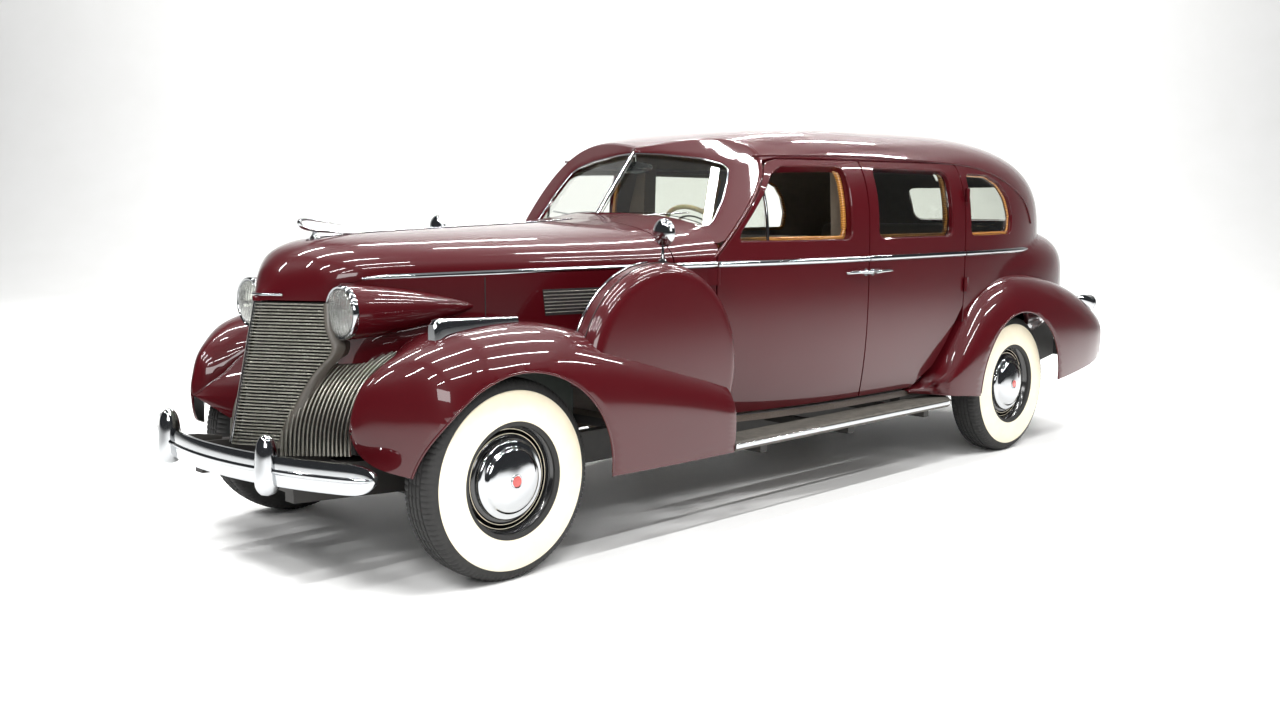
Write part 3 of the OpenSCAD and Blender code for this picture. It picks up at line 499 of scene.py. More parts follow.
def node(tree, kind, settings=None, links=None):
    """Adds a node, sets its properties and sockets, and links its inputs."""
    n = tree.nodes.new(kind)
    for key, value in (settings or {}).items():
        if isinstance(key, str) and hasattr(n, key):
            setattr(n, key, value)
        else:
            n.inputs[key].default_value = value
    for key, socket in (links or {}).items():
        tree.links.new(socket, n.inputs[key])
    return n


def moulding_tree():
    """Node tree that sweeps a bar with rounded corners along every path."""
    name = "Moulding along paths"
    if name in bpy.data.node_groups:
        return bpy.data.node_groups[name]
    tree = bpy.data.node_groups.new(name, "GeometryNodeTree")
    face = tree.interface
    face.new_socket("Geometry", in_out="INPUT", socket_type="NodeSocketGeometry")
    for label, default in (("Across", 0.01), ("Up", 0.01), ("Corner", 0.002)):
        face.new_socket(label, in_out="INPUT", socket_type="NodeSocketFloat").default_value = default
    face.new_socket("Finish", in_out="INPUT", socket_type="NodeSocketMaterial")
    face.new_socket("Geometry", in_out="OUTPUT", socket_type="NodeSocketGeometry")
    src = node(tree, "NodeGroupInput")
    path = node(tree, "GeometryNodeMeshToCurve", links={"Mesh": src.outputs["Geometry"]})
    upright = node(tree, "GeometryNodeSetCurveNormal", {"mode": "Z_UP"}, {"Curve": path.outputs["Curve"]})
    bar = node(tree, "GeometryNodeCurvePrimitiveQuadrilateral", links={
        "Width": src.outputs["Across"], "Height": src.outputs["Up"]})
    soft = node(tree, "GeometryNodeFilletCurve", {"mode": "POLY", "Count": 3, "Limit Radius": True}, {
        "Curve": bar.outputs["Curve"], "Radius": src.outputs["Corner"]})
    swept = node(tree, "GeometryNodeCurveToMesh", {"Fill Caps": True}, {
        "Curve": upright.outputs["Curve"], "Profile Curve": soft.outputs["Curve"]})
    real = node(tree, "GeometryNodeRealizeInstances", links={"Geometry": swept.outputs["Mesh"]})
    done = node(tree, "GeometryNodeSetMaterial", links={
        "Geometry": real.outputs["Geometry"], "Material": src.outputs["Finish"]})
    node(tree, "NodeGroupOutput", links={"Geometry": done.outputs["Geometry"]})
    return tree


def apply_tree(obj, tree, values):
    """Runs a node tree on an object and leaves a plain mesh."""
    mod = obj.modifiers.new(tree.name, "NODES")
    mod.node_group = tree
    for item in tree.interface.items_tree:
        if item.in_out == "INPUT" and item.name in values:
            mod[item.identifier] = values[item.name]
    bpy.context.scene.collection.objects.link(obj)
    graph = bpy.context.evaluated_depsgraph_get()
    mesh = bpy.data.meshes.new_from_object(obj.evaluated_get(graph), depsgraph=graph)
    obj.modifiers.clear()
    old, obj.data = obj.data, mesh
    bpy.data.meshes.remove(old)
    return obj


def moulding(name, paths, across, up, finish, corner=None, body="car_body", replaces=(), closed=False):
    """Strip of even section along each path, made by Geometry Nodes. Sizes and paths are in mm."""
    mesh = bpy.data.meshes.new(name + "_paths")
    points, edges = [], []
    for p in paths:
        first, n = len(points), len(p)
        points += in_frame(p).tolist()
        edges += [(first + i, first + (i + 1) % n) for i in range(n if closed else n - 1)]
    mesh.from_pydata(points, edges, [])
    obj = bpy.data.objects.new(name, mesh)
    corner = min(across, up) * 0.35 if corner is None else corner
    apply_tree(obj, moulding_tree(), {
        "Across": across * MM, "Up": up * MM, "Corner": corner * MM, "Finish": finish})
    obj.data.shade_smooth()
    obj.data.set_sharp_from_angle(angle=math.radians(50))
    return place_piece(obj, body, replaces)


def both(paths):
    """Paths of the car's left side and of its right."""
    return list(paths) + [np.asarray(p) * (-1, 1, 1) for p in paths]


# Finishes


def colour(code):
    """sRGB hex to linear RGBA."""
    c = [int(code[i:i + 2], 16) / 255 for i in (1, 3, 5)]
    return tuple(v / 12.92 if v <= 0.04045 else ((v + 0.055) / 1.055) ** 2.4 for v in c) + (1.0,)


def shader(name, code, roughness=0.5, metallic=0.0, **sockets):
    """Material with one principled shader; its other sockets by name."""
    mat = bpy.data.materials.new(name)
    mat.use_nodes = True
    bsdf = mat.node_tree.nodes["Principled BSDF"]
    bsdf.inputs["Base Color"].default_value = colour(code)
    bsdf.inputs["Roughness"].default_value = roughness
    bsdf.inputs["Metallic"].default_value = metallic
    for key, value in sockets.items():
        bsdf.inputs[key.replace("_", " ")].default_value = value
    return mat, mat.node_tree, bsdf


def mottle(tree, bsdf, light, dark, size_mm, detail=4.0):
    """Cloudy change between two near colours, at a real size."""
    where = node(tree, "ShaderNodeTexCoord")
    cloud = node(tree, "ShaderNodeTexNoise", {"Scale": 1000.0 / size_mm, "Detail": detail},
                 {"Vector": where.outputs["Object"]})
    blend = node(tree, "ShaderNodeMix", {"data_type": "RGBA"}, {"Factor": cloud.outputs["Fac"]})
    blend.inputs[6].default_value, blend.inputs[7].default_value = colour(light), colour(dark)
    tree.links.new(blend.outputs[2], bsdf.inputs["Base Color"])
    return where, cloud


def make_finishes(look):
    """Every finish, by its key. Sizes are in mm."""
    f = {}
    # Surfaces with relief: tree, shader, height, depth, strength
    bumps = []
    # Clouds of two near colours: key, name, colour, roughness, metallic, other sockets, the two colours,
    # size of the clouds, their detail, depth and strength of their relief
    clouded = (
        # Die-cast grille bars: satin plate, dulled in the hollows
        ("cast", "satin_die_cast_plate", "#9D9B92", 0.3, 1.0, {}, "#A5A39A", "#85837A", 40, 4.0, 0, 0),
        # Stove enamel on pressed steel wheels
        ("black", "black_stove_enamel", "#0B0B0C", 0.2, 0.0, dict(Coat_Weight=0.6, Coat_Roughness=0.05),
         "#0B0B0C", "#131314", 60, 4.0, 0, 0),
        # Chassis paint, dulled by road dust
        ("chassis", "dusty_chassis_paint", "#1B1A19", 0.6, 0.0, {}, "#161515", "#2C2925", 70, 6.0, 0.4, 0.3),
        # Vulcanised tread rubber: matt, fine-pored, greyed by use
        ("rubber", "black_tread_rubber", "#1A1A1A", 0.78, 0.0, dict(IOR=1.52),
         "#141414", "#272625", 18, 6.0, 0.3, 0.4),
        # White sidewall rubber, aged to cream with a little scuffing
        ("whitewall", "cream_sidewall_rubber", look.whitewall, 0.5, 0.0, dict(IOR=1.5),
         look.whitewall, "#DDD2B6", 60, 6.0, 0.15, 0.3),
        # Headlining: paler napped cloth
        ("lining", "grey_brown_headlining", "#8B7E6E", 0.95, 0.0, dict(Sheen_Weight=0.2),
         "#8B7E6E", "#7A6D5E", 40, 6.0, 0.3, 0.4),
        # Cut-pile floor carpet
        ("carpet", "brown_pile_carpet", "#4A3F37", 1.0, 0.0, dict(Sheen_Weight=0.3),
         "#3A312B", "#5A4D43", 6, 3.0, 2.0, 0.8),
        # Moulded cellulose plastic of the steering wheel
        ("ivory", "ivory_cellulose_plastic", "#E4D6AE", 0.3, 0.0, dict(Coat_Weight=0.3, Subsurface_Weight=0.1),
         "#E8DBB6", "#D9C795", 35, 4.0, 0, 0),
        # Ribbed mat rubber of the running boards, with pale dust in the surface
        ("mat", "dusty_ribbed_rubber", "#3B3733", 0.7, 0.0, {}, "#2B2926", "#5D5850", 45, 6.0, 0.3, 0.4),
        # Ruby glass of the tail lamps
        ("ruby", "ruby_lamp_glass", "#B00D12", 0.08, 0.0, dict(IOR=1.5, Transmission_Weight=0.55),
         "#B00D12", "#8C080C", 14, 4.0, 0, 0),
        # Vitreous enamel on the hub discs
        ("red", "red_vitreous_enamel", "#B3281C", 0.15, 0.0, dict(Coat_Weight=1.0, Coat_Roughness=0.03),
         "#B3281C", "#A02014", 20, 4.0, 0, 0),
        # Grey on the grille and catwalk shells: a painted reflection of the floor in place of bright metal, with
        # slightly worn clouds
        ("grey", "warm_grey_lacquer", "#4C4740", 0.42, 0.0, dict(Coat_Weight=0.25),
         "#4C4740", "#3D3933", 80, 5.0, 0, 0),
        # Cast iron block under green engine enamel, the green darkened as painted shade in the space behind the front
        # wheels
        ("iron", "green_engine_enamel", "#2A332C", 0.5, 0.0, {}, "#2A332C", "#1C221D", 35, 6.0, 0.8, 0.5),
        # Bare steel of the exhaust, browned by heat
        ("steel", "heat_browned_steel", "#5B5048", 0.5, 0.8, {}, "#63584F", "#3F342C", 60, 6.0, 0, 0),
        # Printed instrument faces
        ("dial", "silvered_dial", "#B9AE97", 0.4, 0.3, {}, "#BDB29B", "#A99D85", 25, 4.0, 0, 0),
        # Rubber welts and window channels; the same black is the painted shade behind the hood louvres
        ("welt", "black_rubber_welt", "#0E0E0E", 0.65, 0.0, {}, "#0C0C0C", "#181818", 10, 4.0, 0, 0))
    for key, name, code, rough, metal, sockets, light, dark, size, detail, depth, strength in clouded:
        f[key], t, b = shader(name, code, rough, metal, **sockets)
        _, cloud = mottle(t, b, light, dark, size, detail)
        if depth:
            bumps.append((t, b, cloud.outputs["Fac"], depth, strength))
    # Hazy change of roughness: key, name, colour, roughness, metallic, other sockets, size and detail of
    # the clouds, least and most roughness
    hazy = (
        # Nickel-chrome plate over polished steel: a clear mirror with slight hazy clouds
        ("chrome", "bright_chrome_plate", "#AEB0B2", 0.06, 1.0, {}, 55, 5.0, 0.03, 0.13),
        # Polished plate glass
        ("glass", "polished_plate_glass", "#E4E7E1", 0.0, 0.0, dict(IOR=1.45, Transmission_Weight=1.0),
         240, 3.0, 0.0, 0.02),
        # Aluminised reflector bowls
        ("bowl", "silvered_reflector", "#E2E2DE", 0.12, 1.0, {}, 20, 2.0, 0.08, 0.22))
    for key, name, code, rough, metal, sockets, size, detail, least, most in hazy:
        f[key], t, b = shader(name, code, rough, metal, **sockets)
        where = node(t, "ShaderNodeTexCoord")
        haze = node(t, "ShaderNodeTexNoise", {"Scale": 1000 / size, "Detail": detail},
                    {"Vector": where.outputs["Object"]})
        spread = node(t, "ShaderNodeMapRange", {"To Min": least, "To Max": most}, {"Value": haze.outputs["Fac"]})
        t.links.new(spread.outputs["Result"], b.inputs["Roughness"])
    # Upright flutes or fins: key, name, colour, roughness, other sockets, distance apart, depth, strength
    fluted = (
        # Pressed lens glass
        ("lens", "fluted_lamp_glass", "#F4F6F2", 0.04, dict(IOR=1.5, Transmission_Weight=0.9), 8, 1.2, 0.7),
        # Radiator core behind the bars: dark fins; the same finish is the painted shade behind the fender grilles
        ("core", "dark_radiator_core", "#171615", 0.7, {}, 6, 2.0, 0.8))
    for key, name, code, rough, sockets, apart, depth, strength in fluted:
        f[key], t, b = shader(name, code, rough, **sockets)
        where = node(t, "ShaderNodeTexCoord")
        wave = node(t, "ShaderNodeTexWave", {"wave_type": "BANDS", "bands_direction": "X", "Scale": 1000 / apart / 6},
                    {"Vector": where.outputs["Object"]})
        bumps.append((t, b, wave.outputs["Fac"], depth, strength))
    # Cellulose enamel, rubbed and polished: a deep red under a wet-looking surface with a faint ripple
    f["paint"], t, b = shader("burgundy_cellulose_enamel", look.paint, 0.35, Coat_Weight=0.85, Coat_Roughness=0.02,
                              Coat_IOR=1.45, Specular_IOR_Level=0.1)
    where, _ = mottle(t, b, look.paint, look.paint_shade, 900, 2.0)
    ripple = node(t, "ShaderNodeTexNoise", {"Scale": 1000 / 30, "Detail": 1.0}, {"Vector": where.outputs["Object"]})
    bumps.append((t, b, ripple.outputs["Fac"], 0.05, 0.25))
    # Wool broadcloth: taupe, with a fine diagonal weave drawn at 2 mm so that it shows, and a soft sheen
    f["cloth"], t, b = shader("taupe_wool_broadcloth", look.cloth, 0.9, Sheen_Weight=0.35, Sheen_Roughness=0.5)
    where, _ = mottle(t, b, look.cloth, "#5E5245", 90, 5.0)
    weave = node(t, "ShaderNodeTexWave", {"wave_type": "BANDS", "bands_direction": "DIAGONAL", "Scale": 1000 / 2 / 6,
                                          "Distortion": 0.6}, {"Vector": where.outputs["Object"]})
    bumps.append((t, b, weave.outputs["Fac"], 0.4, 0.5))
    # Figured walnut, varnished golden: grain lines about 6 mm apart along the car
    f["wood"], t, b = shader("golden_walnut_veneer", look.wood, 0.28, Coat_Weight=0.5, Coat_Roughness=0.08)
    where = node(t, "ShaderNodeTexCoord")
    stretch = node(t, "ShaderNodeMapping", {"Scale": (1.0, 0.12, 1.0)}, {"Vector": where.outputs["Object"]})
    grain = node(t, "ShaderNodeTexWave", {"wave_type": "BANDS", "bands_direction": "Z", "Scale": 1000 / 6 / 6,
                                          "Distortion": 7.0, "Detail": 4.0, "Detail Scale": 1.5},
                 {"Vector": stretch.outputs["Vector"]})
    blend = node(t, "ShaderNodeMix", {"data_type": "RGBA"}, {"Factor": grain.outputs["Fac"]})
    blend.inputs[6].default_value, blend.inputs[7].default_value = colour(look.wood), colour("#7A4A1E")
    t.links.new(blend.outputs[2], b.inputs["Base Color"])
    bumps.append((t, b, grain.outputs["Fac"], 0.1, 0.2))
    for t, b, height, depth, strength in bumps:
        bump = node(t, "ShaderNodeBump", {"Strength": strength, "Distance": depth * MM}, {"Height": height})
        t.links.new(bump.outputs["Normal"], b.inputs["Normal"])
    return f


FINISH = {}


class SedanLook(bpy.types.PropertyGroup):
    """Colours of the car, as sRGB hex."""

    paint: bpy.props.StringProperty(name="Paint", description="Body colour", default="#43070E")
    paint_shade: bpy.props.StringProperty(name="Paint shade", description="Darker clouds in the paint",
                                          default="#3B050B")
    whitewall: bpy.props.StringProperty(name="Sidewall", description="Colour of the pale sidewalls",
                                        default="#E9E0CB")
    cloth: bpy.props.StringProperty(name="Cloth", description="Colour of seats and door trim", default="#6E6153")
    wood: bpy.props.StringProperty(name="Wood", description="Colour of the window mouldings", default="#B5803C")


class SedanSizes(bpy.types.PropertyGroup):
    """Sizes of what the scene adds, in millimetres."""

    pitch: bpy.props.FloatProperty(name="Panel pitch", description="Distance between points of a panel", default=20.5)
    grille_bars: bpy.props.IntProperty(name="Grille bars", description="Bars of the radiator grille", default=44)
    fender_bars: bpy.props.IntProperty(name="Fender bars", description="Bars of each fender grille", default=17)
    strip: bpy.props.FloatProperty(name="Belt strip", description="Height of the bright belt strip", default=24.0)
    white_in: bpy.props.FloatProperty(name="Sidewall inside", description="Inner radius of the pale band",
                                      default=222.0)
    white_out: bpy.props.FloatProperty(name="Sidewall outside", description="Outer radius of the pale band",
                                       default=338.0)
    cap: bpy.props.FloatProperty(name="Hub cap", description="Radius of the hub caps", default=152.0)


# Lines that several pieces share

UNIT_R = 850.0
HINGE_X = 874.2
LID_HALF = 520.0
LID_TOP = 1105.0
LID_LOW = 640.0
LID_LAP = 16.0
LID_PROUD = 8.0
LID_HUB = (4400.0, 830.0)
LID_ROUND = 420.0
# Angle at which the shell ends under the tail
LOW_ANGLE = math.radians(-78)
_s = np.linspace(1120, TRUNK_END - 0.02, 9000)
_r = np.linalg.norm(skin(_s, np.full_like(_s, 0.9)) - np.stack([0 * _s, _s, 0 * _s + HUB_Z], -1), axis=1)
_run = np.concatenate([[0], np.cumsum(np.hypot(np.diff(_s), np.diff(_r)))])


def shell_flat(s, angle):
    """Shell coordinates, in mm along and round the body, of a station and angle."""
    return np.stack([np.interp(s, _s, _run), np.asarray(angle) * UNIT_R], -1)


def shell_place(u, v):
    """Point of the body at shell coordinates."""
    return skin(np.interp(u, _run, _s), v / UNIT_R)


def solve(f, low, high):
    """Where a rising function passes zero."""
    low, high = np.array(low, float), np.array(high, float)
    for _ in range(40):
        mid = (low + high) / 2
        up = f(mid) > 0
        low, high = np.where(up, low, mid), np.where(up, mid, high)
    return (low + high) / 2


def angle_at(s, z):
    """Angle about the hub at which the skin has a height."""
    s, z = np.broadcast_arrays(np.asarray(s, float), np.asarray(z, float))
    return solve(lambda a: skin(s, a)[..., 2] - z, np.full(s.shape, -1.45), np.full(s.shape, 1.45))


def pillar_station(z):
    """Station at which the cabin side meets the windshield plane."""
    z = np.asarray(z, float)
    s = np.full(z.shape, 1400.0)
    for _ in range(30):
        s = pane_station(cabin_x(s, z), z)
    return s


def roof_cut(angle):
    """Station at which the roof meets the windshield plane."""
    def ahead(s):
        p = skin(s, angle)
        return s - pane_station(p[..., 0], p[..., 2])
    return solve(ahead, np.full(np.shape(angle), 1150.0), np.full(np.shape(angle), 1750.0))


def door_front_line(gap):
    """Sloping front edge of the door opening, from the belt to the header."""
    z = np.linspace(1165.0, 1560.0, 26)
    return np.stack([pillar_station(z) + gap, z], -1)


def front_door_outline(gap):
    """Front door in side view; a gap of 0 is the opening."""
    sill, top = SILL_Z + gap, DOOR_TOP + 4 - gap
    line = door_front_line(9 + gap)
    p = np.vstack([[(DOOR_FRONT + gap, sill), (DOOR_SPLIT - gap / 2, sill), (DOOR_SPLIT - gap / 2, top),
                    (line[-1, 0] + 92, top), (line[-1, 0] + 30, line[-1, 1] + 27)], line[::-1],
                   [(DOOR_FRONT + gap, 1140)]])
    r = [10, 6, 14, 70, 40] + [4] * len(line) + [20]
    return rounded(p, r)


def rear_door_outline(gap):
    """Rear door in side view; a gap of 0 is the opening."""
    sill, top = SILL_Z + gap, DOOR_TOP + 4 - gap
    return rounded([(DOOR_SPLIT + gap / 2, sill), (2660, sill), (2840 - gap, 545 + gap), (2940 - gap, 665 + gap),
                    (3000 - gap, 755 + gap), (DOOR_REAR + 3 - gap, 850 + gap), (DOOR_REAR + 3 - gap, top),
                    (DOOR_SPLIT + gap / 2, top)], [8, 60, 80, 80, 80, 20, 34, 14])


FRONT_WINDOW = rounded([(1392, 1228), (2090, 1224), (2090, 1574), (1690, 1570), (1618, 1535), (1392, 1266)],
                       [42, 46, 60, 60, 90, 50], 9)
REAR_WINDOW = rounded([(2296, 1226), (2950, 1224), (2956, 1566), (2296, 1572)], [46, 50, 60, 52], 9)
QUARTER_WINDOW = rounded([(3132, 1224), (3606, 1224), (3622, 1330), (3580, 1430), (3500, 1505), (3380, 1548),
                          (3132, 1552)], [46, 50, 60, 90, 90, 90, 50], 9)
BACK_WINDOW = rounded([(-380, 1285), (380, 1285), (380, 1515), (-380, 1515)], 80, 12)


def lid_place(x, v, proud=0.0):
    """Back of the luggage compartment: x across, v round a cross line inside it, in mm."""
    x, v = np.broadcast_arrays(np.asarray(x, float), np.asarray(v, float))
    a = v / LID_ROUND
    low, high = np.zeros(x.shape), np.full(x.shape, 700.0)
    for _ in range(34):
        mid = (low + high) / 2
        ok = in_trunk(np.abs(x), LID_HUB[0] + mid * np.cos(a), LID_HUB[1] + mid * np.sin(a))
        low, high = np.where(ok, mid, low), np.where(ok, high, mid)
    low = low + proud
    return np.stack([x, LID_HUB[0] + low * np.cos(a), LID_HUB[1] + low * np.sin(a)], -1)


def lid_outline(gap):
    """Luggage lid on the back of the compartment; its opening lies a lap further in."""
    top = solve(lambda a: lid_place(0.0, a * LID_ROUND)[2] - LID_TOP + gap, 0.0, 1.2) * LID_ROUND
    low = solve(lambda a: lid_place(0.0, a * LID_ROUND)[2] - LID_LOW - gap, -1.2, 0.2) * LID_ROUND
    w = LID_HALF - gap
    return rounded([(-w, low), (w, low), (w, top), (-w, top)], [110, 110, 180, 180], 14)


def bezier(a, b, c, n):
    """Rows of a curve from one line to another, drawn towards a third between them."""
    t = np.linspace(0, 1, n)[:, None, None]
    return (1 - t) ** 2 * a + 2 * t * (1 - t) * b + t ** 2 * c


class SEDAN_OT_body_shell(bpy.types.Operator):
    """Roof, quarter panels and tail as one seamless skin, with its lining"""

    bl_idname = "sedan.body_shell"
    bl_label = "Body shell"

    def execute(self, context):
        pitch = context.scene.sedan_sizes.pitch
        half = math.pi / 2
        corner = np.array([door_front_line(9)[-1, 0] + 92, DOOR_TOP + 4])
        join = float(angle_at(corner[0] - 40, corner[1] - 8))
        front = np.linspace(half, join, 50)
        line = [np.stack([roof_cut(front) + 10, front], -1)]
        edge = resample([corner, (DOOR_REAR + 6, DOOR_TOP + 4), (DOOR_REAR + 6, SILL_Z), (3112, SILL_Z)], 14, False)
        arc = np.linspace(math.radians(172.4), math.radians(7.6), 60)
        edge = np.vstack([edge, np.stack([WHEELBASE + 470 * np.cos(arc), AXLE_Z + 470 * np.sin(arc)], -1),
                          resample([(4060, 448), (4200, 480)], 14, False)])
        line.append(np.stack([edge[:, 0], angle_at(edge[:, 0], edge[:, 1])], -1))
        lid = lid_outline(LID_LAP)
        lid = lid[lid[:, 0] >= -1e-6]
        lid = lid[np.argsort(np.arctan2(lid[:, 1] - lid[:, 1].mean(), lid[:, 0] + 1))]
        rim = lid_place(lid[:, 0], lid[:, 1])
        rim_angle = np.arctan2(rim[:, 2] - HUB_Z, rim[:, 0])
        keep = rim_angle > LOW_ANGLE
        rim, rim_angle = rim[keep], rim_angle[keep]
        s_low = np.linspace(4240, rim[0, 1] - 6, 40)
        line.append(np.stack([s_low, np.full(40, LOW_ANGLE)], -1))
        line.append(np.stack([rim[:, 1], rim_angle], -1))
        w = BACK_WINDOW[BACK_WINDOW[:, 0] >= -1e-6]
        w = w[np.argsort(np.arctan2(w[:, 1] - 1400, w[:, 0] + 1))]
        w_angle = np.arctan2(w[:, 1] - HUB_Z, w[:, 0])
        reach = np.hypot(w[:, 0], w[:, 1] - HUB_Z)

        def ahead(s):
            hub = np.stack([0 * s, s, 0 * s + HUB_Z], -1)
            return reach - np.linalg.norm(skin(s, w_angle) - hub, axis=1)

        w_st = solve(ahead, np.full(len(w), 3150.0), np.full(len(w), CABIN_END - 1.0))
        top = np.array([[float(rim[-1, 1]), half]])
        line.append(np.vstack([top, [[w_st[0], half]], np.stack([w_st, w_angle], -1), [[w_st[-1], half]]]))
        loop = np.vstack([shell_flat(l[:, 0], l[:, 1]) for l in line])
        seam = half * UNIT_R
        loop[np.abs(loop[:, 1] - seam) < 0.5, 1] = seam
        d = np.linalg.norm(loop - np.roll(loop, 1, 0), axis=1)
        loop = resample(loop[d > 0.5], 18)
        hole = shell_flat(QUARTER_WINDOW[:, 0], skin_angle(QUARTER_WINDOW[:, 0], QUARTER_WINDOW[:, 1]))
        stock = panel(loop, [hole], shell_place, pitch, 34, 1, seam=seam)
        stock.mirror().build("body_shell", [FINISH["paint"], FINISH["lining"]],
                             replaces=("roof", "quarter_panels", "tail_panel"), sharp=36)
        glass = panel(inset(QUARTER_WINDOW, 1), [], sunk(side, 25), 40, 5, lip=0.5).mirror()
        back = np.stack([w[:, 0], w_st - 25, w[:, 1]], -1)
        middle = back * (0, 1, 1)
        pane = np.stack([back * (1 - t) + middle * t for t in np.linspace(0, 1, 12)], 1)
        both_halves = np.concatenate([pane, (pane * (-1, 1, 1))[:, ::-1][:, 1:]], 1)
        glass.plate(both_halves, 5)
        glass.build("quarter_and_back_glass", [FINISH["glass"]], replaces=("fixed_glass",))
        return {"FINISHED"}


class SEDAN_OT_cowl(bpy.types.Operator):
    """Cowl, windshield frame and screen pillars"""

    bl_idname = "sedan.cowl"
    bl_label = "Cowl and windshield frame"

    def execute(self, context):
        paint = FINISH["paint"]
        a = np.linspace(0, 90, 60)

        def ahead(s):
            p = hood_point(s, a)
            return s - pane_station(p[..., 0], p[..., 2])

        stop = np.minimum(solve(ahead, np.full(a.shape, 1062.0), np.full(a.shape, 1480.0)), 1480)
        stop[a < 8] = np.maximum(stop[a < 8], 1100)
        base_line = hood_point(stop, a)
        top = np.stack([hood_point(1061 + (stop + 8 - 1061) * k, a) for k in np.linspace(0, 1, 14)])
        stock = Stock().plate(top, 14)
        z = np.linspace(SILL_Z, 1131, 30)
        s = np.linspace(1061, DOOR_FRONT - 2, 10)
        stock.plate(side(*np.meshgrid(s, z, indexing="ij")), 14)
        s = np.linspace(1180, DOOR_FRONT - 2, 12)
        rise = 15 + 36 * ((s - 1180) / 88) ** 2
        stock.plate(np.stack([side(s, 1118 + rise * k) for k in np.linspace(0, 1, 6)], 1), 10)
        stock.mirror().build("cowl_panels", [paint], replaces=("cowl",))
        # Frame of the screen: from the skin, over a rounded edge, to the glass
        roof = np.linspace(math.pi / 2, 0.2, 120)
        cut = roof_cut(roof)
        p = skin(cut, roof)
        keep = p[:, 2] > 1150
        roof, cut, p = roof[keep], cut[keep], p[keep]
        centre = np.array([300.0, 1470.0])
        glass = [(0, 1347), (140, 1345), (300, 1334), (450, 1312), (560, 1292), (602, 1296), (606, 1330), (597, 1414),
                 (570, 1500), (545, 1552), (500, 1578), (369, 1609), (148, 1632), (0, 1639)]
        glass = resample(glass, 20, False)
        outer = np.vstack([p[:, [0, 2]], base_line[base_line[:, 2] > 1150][:, [0, 2]]])

        def polar(q):
            ang = np.arctan2(q[:, 1] - centre[1], q[:, 0] - centre[0])
            order = np.argsort(ang)
            return ang[order], np.hypot(*(q - centre).T)[order]

        def star(q, angles):
            ang, r = polar(q)
            return np.interp(angles, ang, r, period=2 * math.pi)

        low = math.atan2(1347 - centre[1], -centre[0])
        high = math.atan2(1639 - centre[1], -centre[0])
        ang = np.linspace(low, high, 150)
        dirs = np.stack([np.cos(ang), np.sin(ang)], -1)
        ro, ri = star(outer, ang), star(glass, ang)
        ro = np.maximum(ro, ri + 4)

        def on_pane(r, sink):
            q = centre + dirs * r[:, None]
            q[:, 0] = np.maximum(q[:, 0], 0)
            return np.stack([q[:, 0], pane_station(q[:, 0], q[:, 1]) + sink, q[:, 1]], -1)

        rows = [on_pane(ro - 9, 0)]
        for k in np.linspace(0.15, 1, 6):
            rows.append(on_pane((ro - 9) * (1 - k) + ri * k, 10 * k))
        rows.append(on_pane(ri - 1, 34))
        frame_stock = Stock().plate(np.stack(rows), 5)
        side_s = np.minimum(cut + 9, 4000)
        edge = skin(side_s, roof)
        q = np.stack([p[:, 0], p[:, 2]], -1) - centre
        inner = centre + q * (1 - 10 / np.linalg.norm(q, axis=1, keepdims=True))
        inner = np.stack([inner[:, 0], pane_station(inner[:, 0], inner[:, 1]), inner[:, 1]], -1)
        back = edge + np.stack([-24 * np.cos(roof), 2 + 0 * roof, -24 * np.sin(roof)], -1)
        rows = np.concatenate([back[None], bezier(edge, p, inner, 7)])
        frame_stock.plate(rows, 4)
        frame_stock.mirror().build("windshield_frame", [paint])
        trim = on_pane(ri - 3, 8)
        moulding("windshield_trim", both([trim]), 9, 7, FINISH["chrome"])
        bar = np.array([(0, PANE_ST + 4, PANE_Z + 2), (0, 1454, 1641)])
        moulding("windshield_centre_bar", [bar], 22, 12, FINISH["chrome"])
        return {"FINISHED"}


def door_skin(name, outline, window, body, node_name, side_of):
    """Door panel round its window, lined inside."""
    stock = panel(outline, [window], side, bpy.context.scene.sedan_sizes.pitch, 56, 1)
    if body.startswith("rear"):
        # The front edge is turned about the hinge line, so that it swings past the front door
        for p in stock.points:
            reach = (DOOR_REAR - DOOR_SPLIT - 3) ** 2 - (p[:, 0] - HINGE_X) ** 2
            p[:, 1] = np.maximum(p[:, 1], DOOR_REAR - np.sqrt(reach))
    return stock.to_side(side_of).build(name, [FINISH["paint"], FINISH["cloth"]], body, (node_name,), sharp=36)


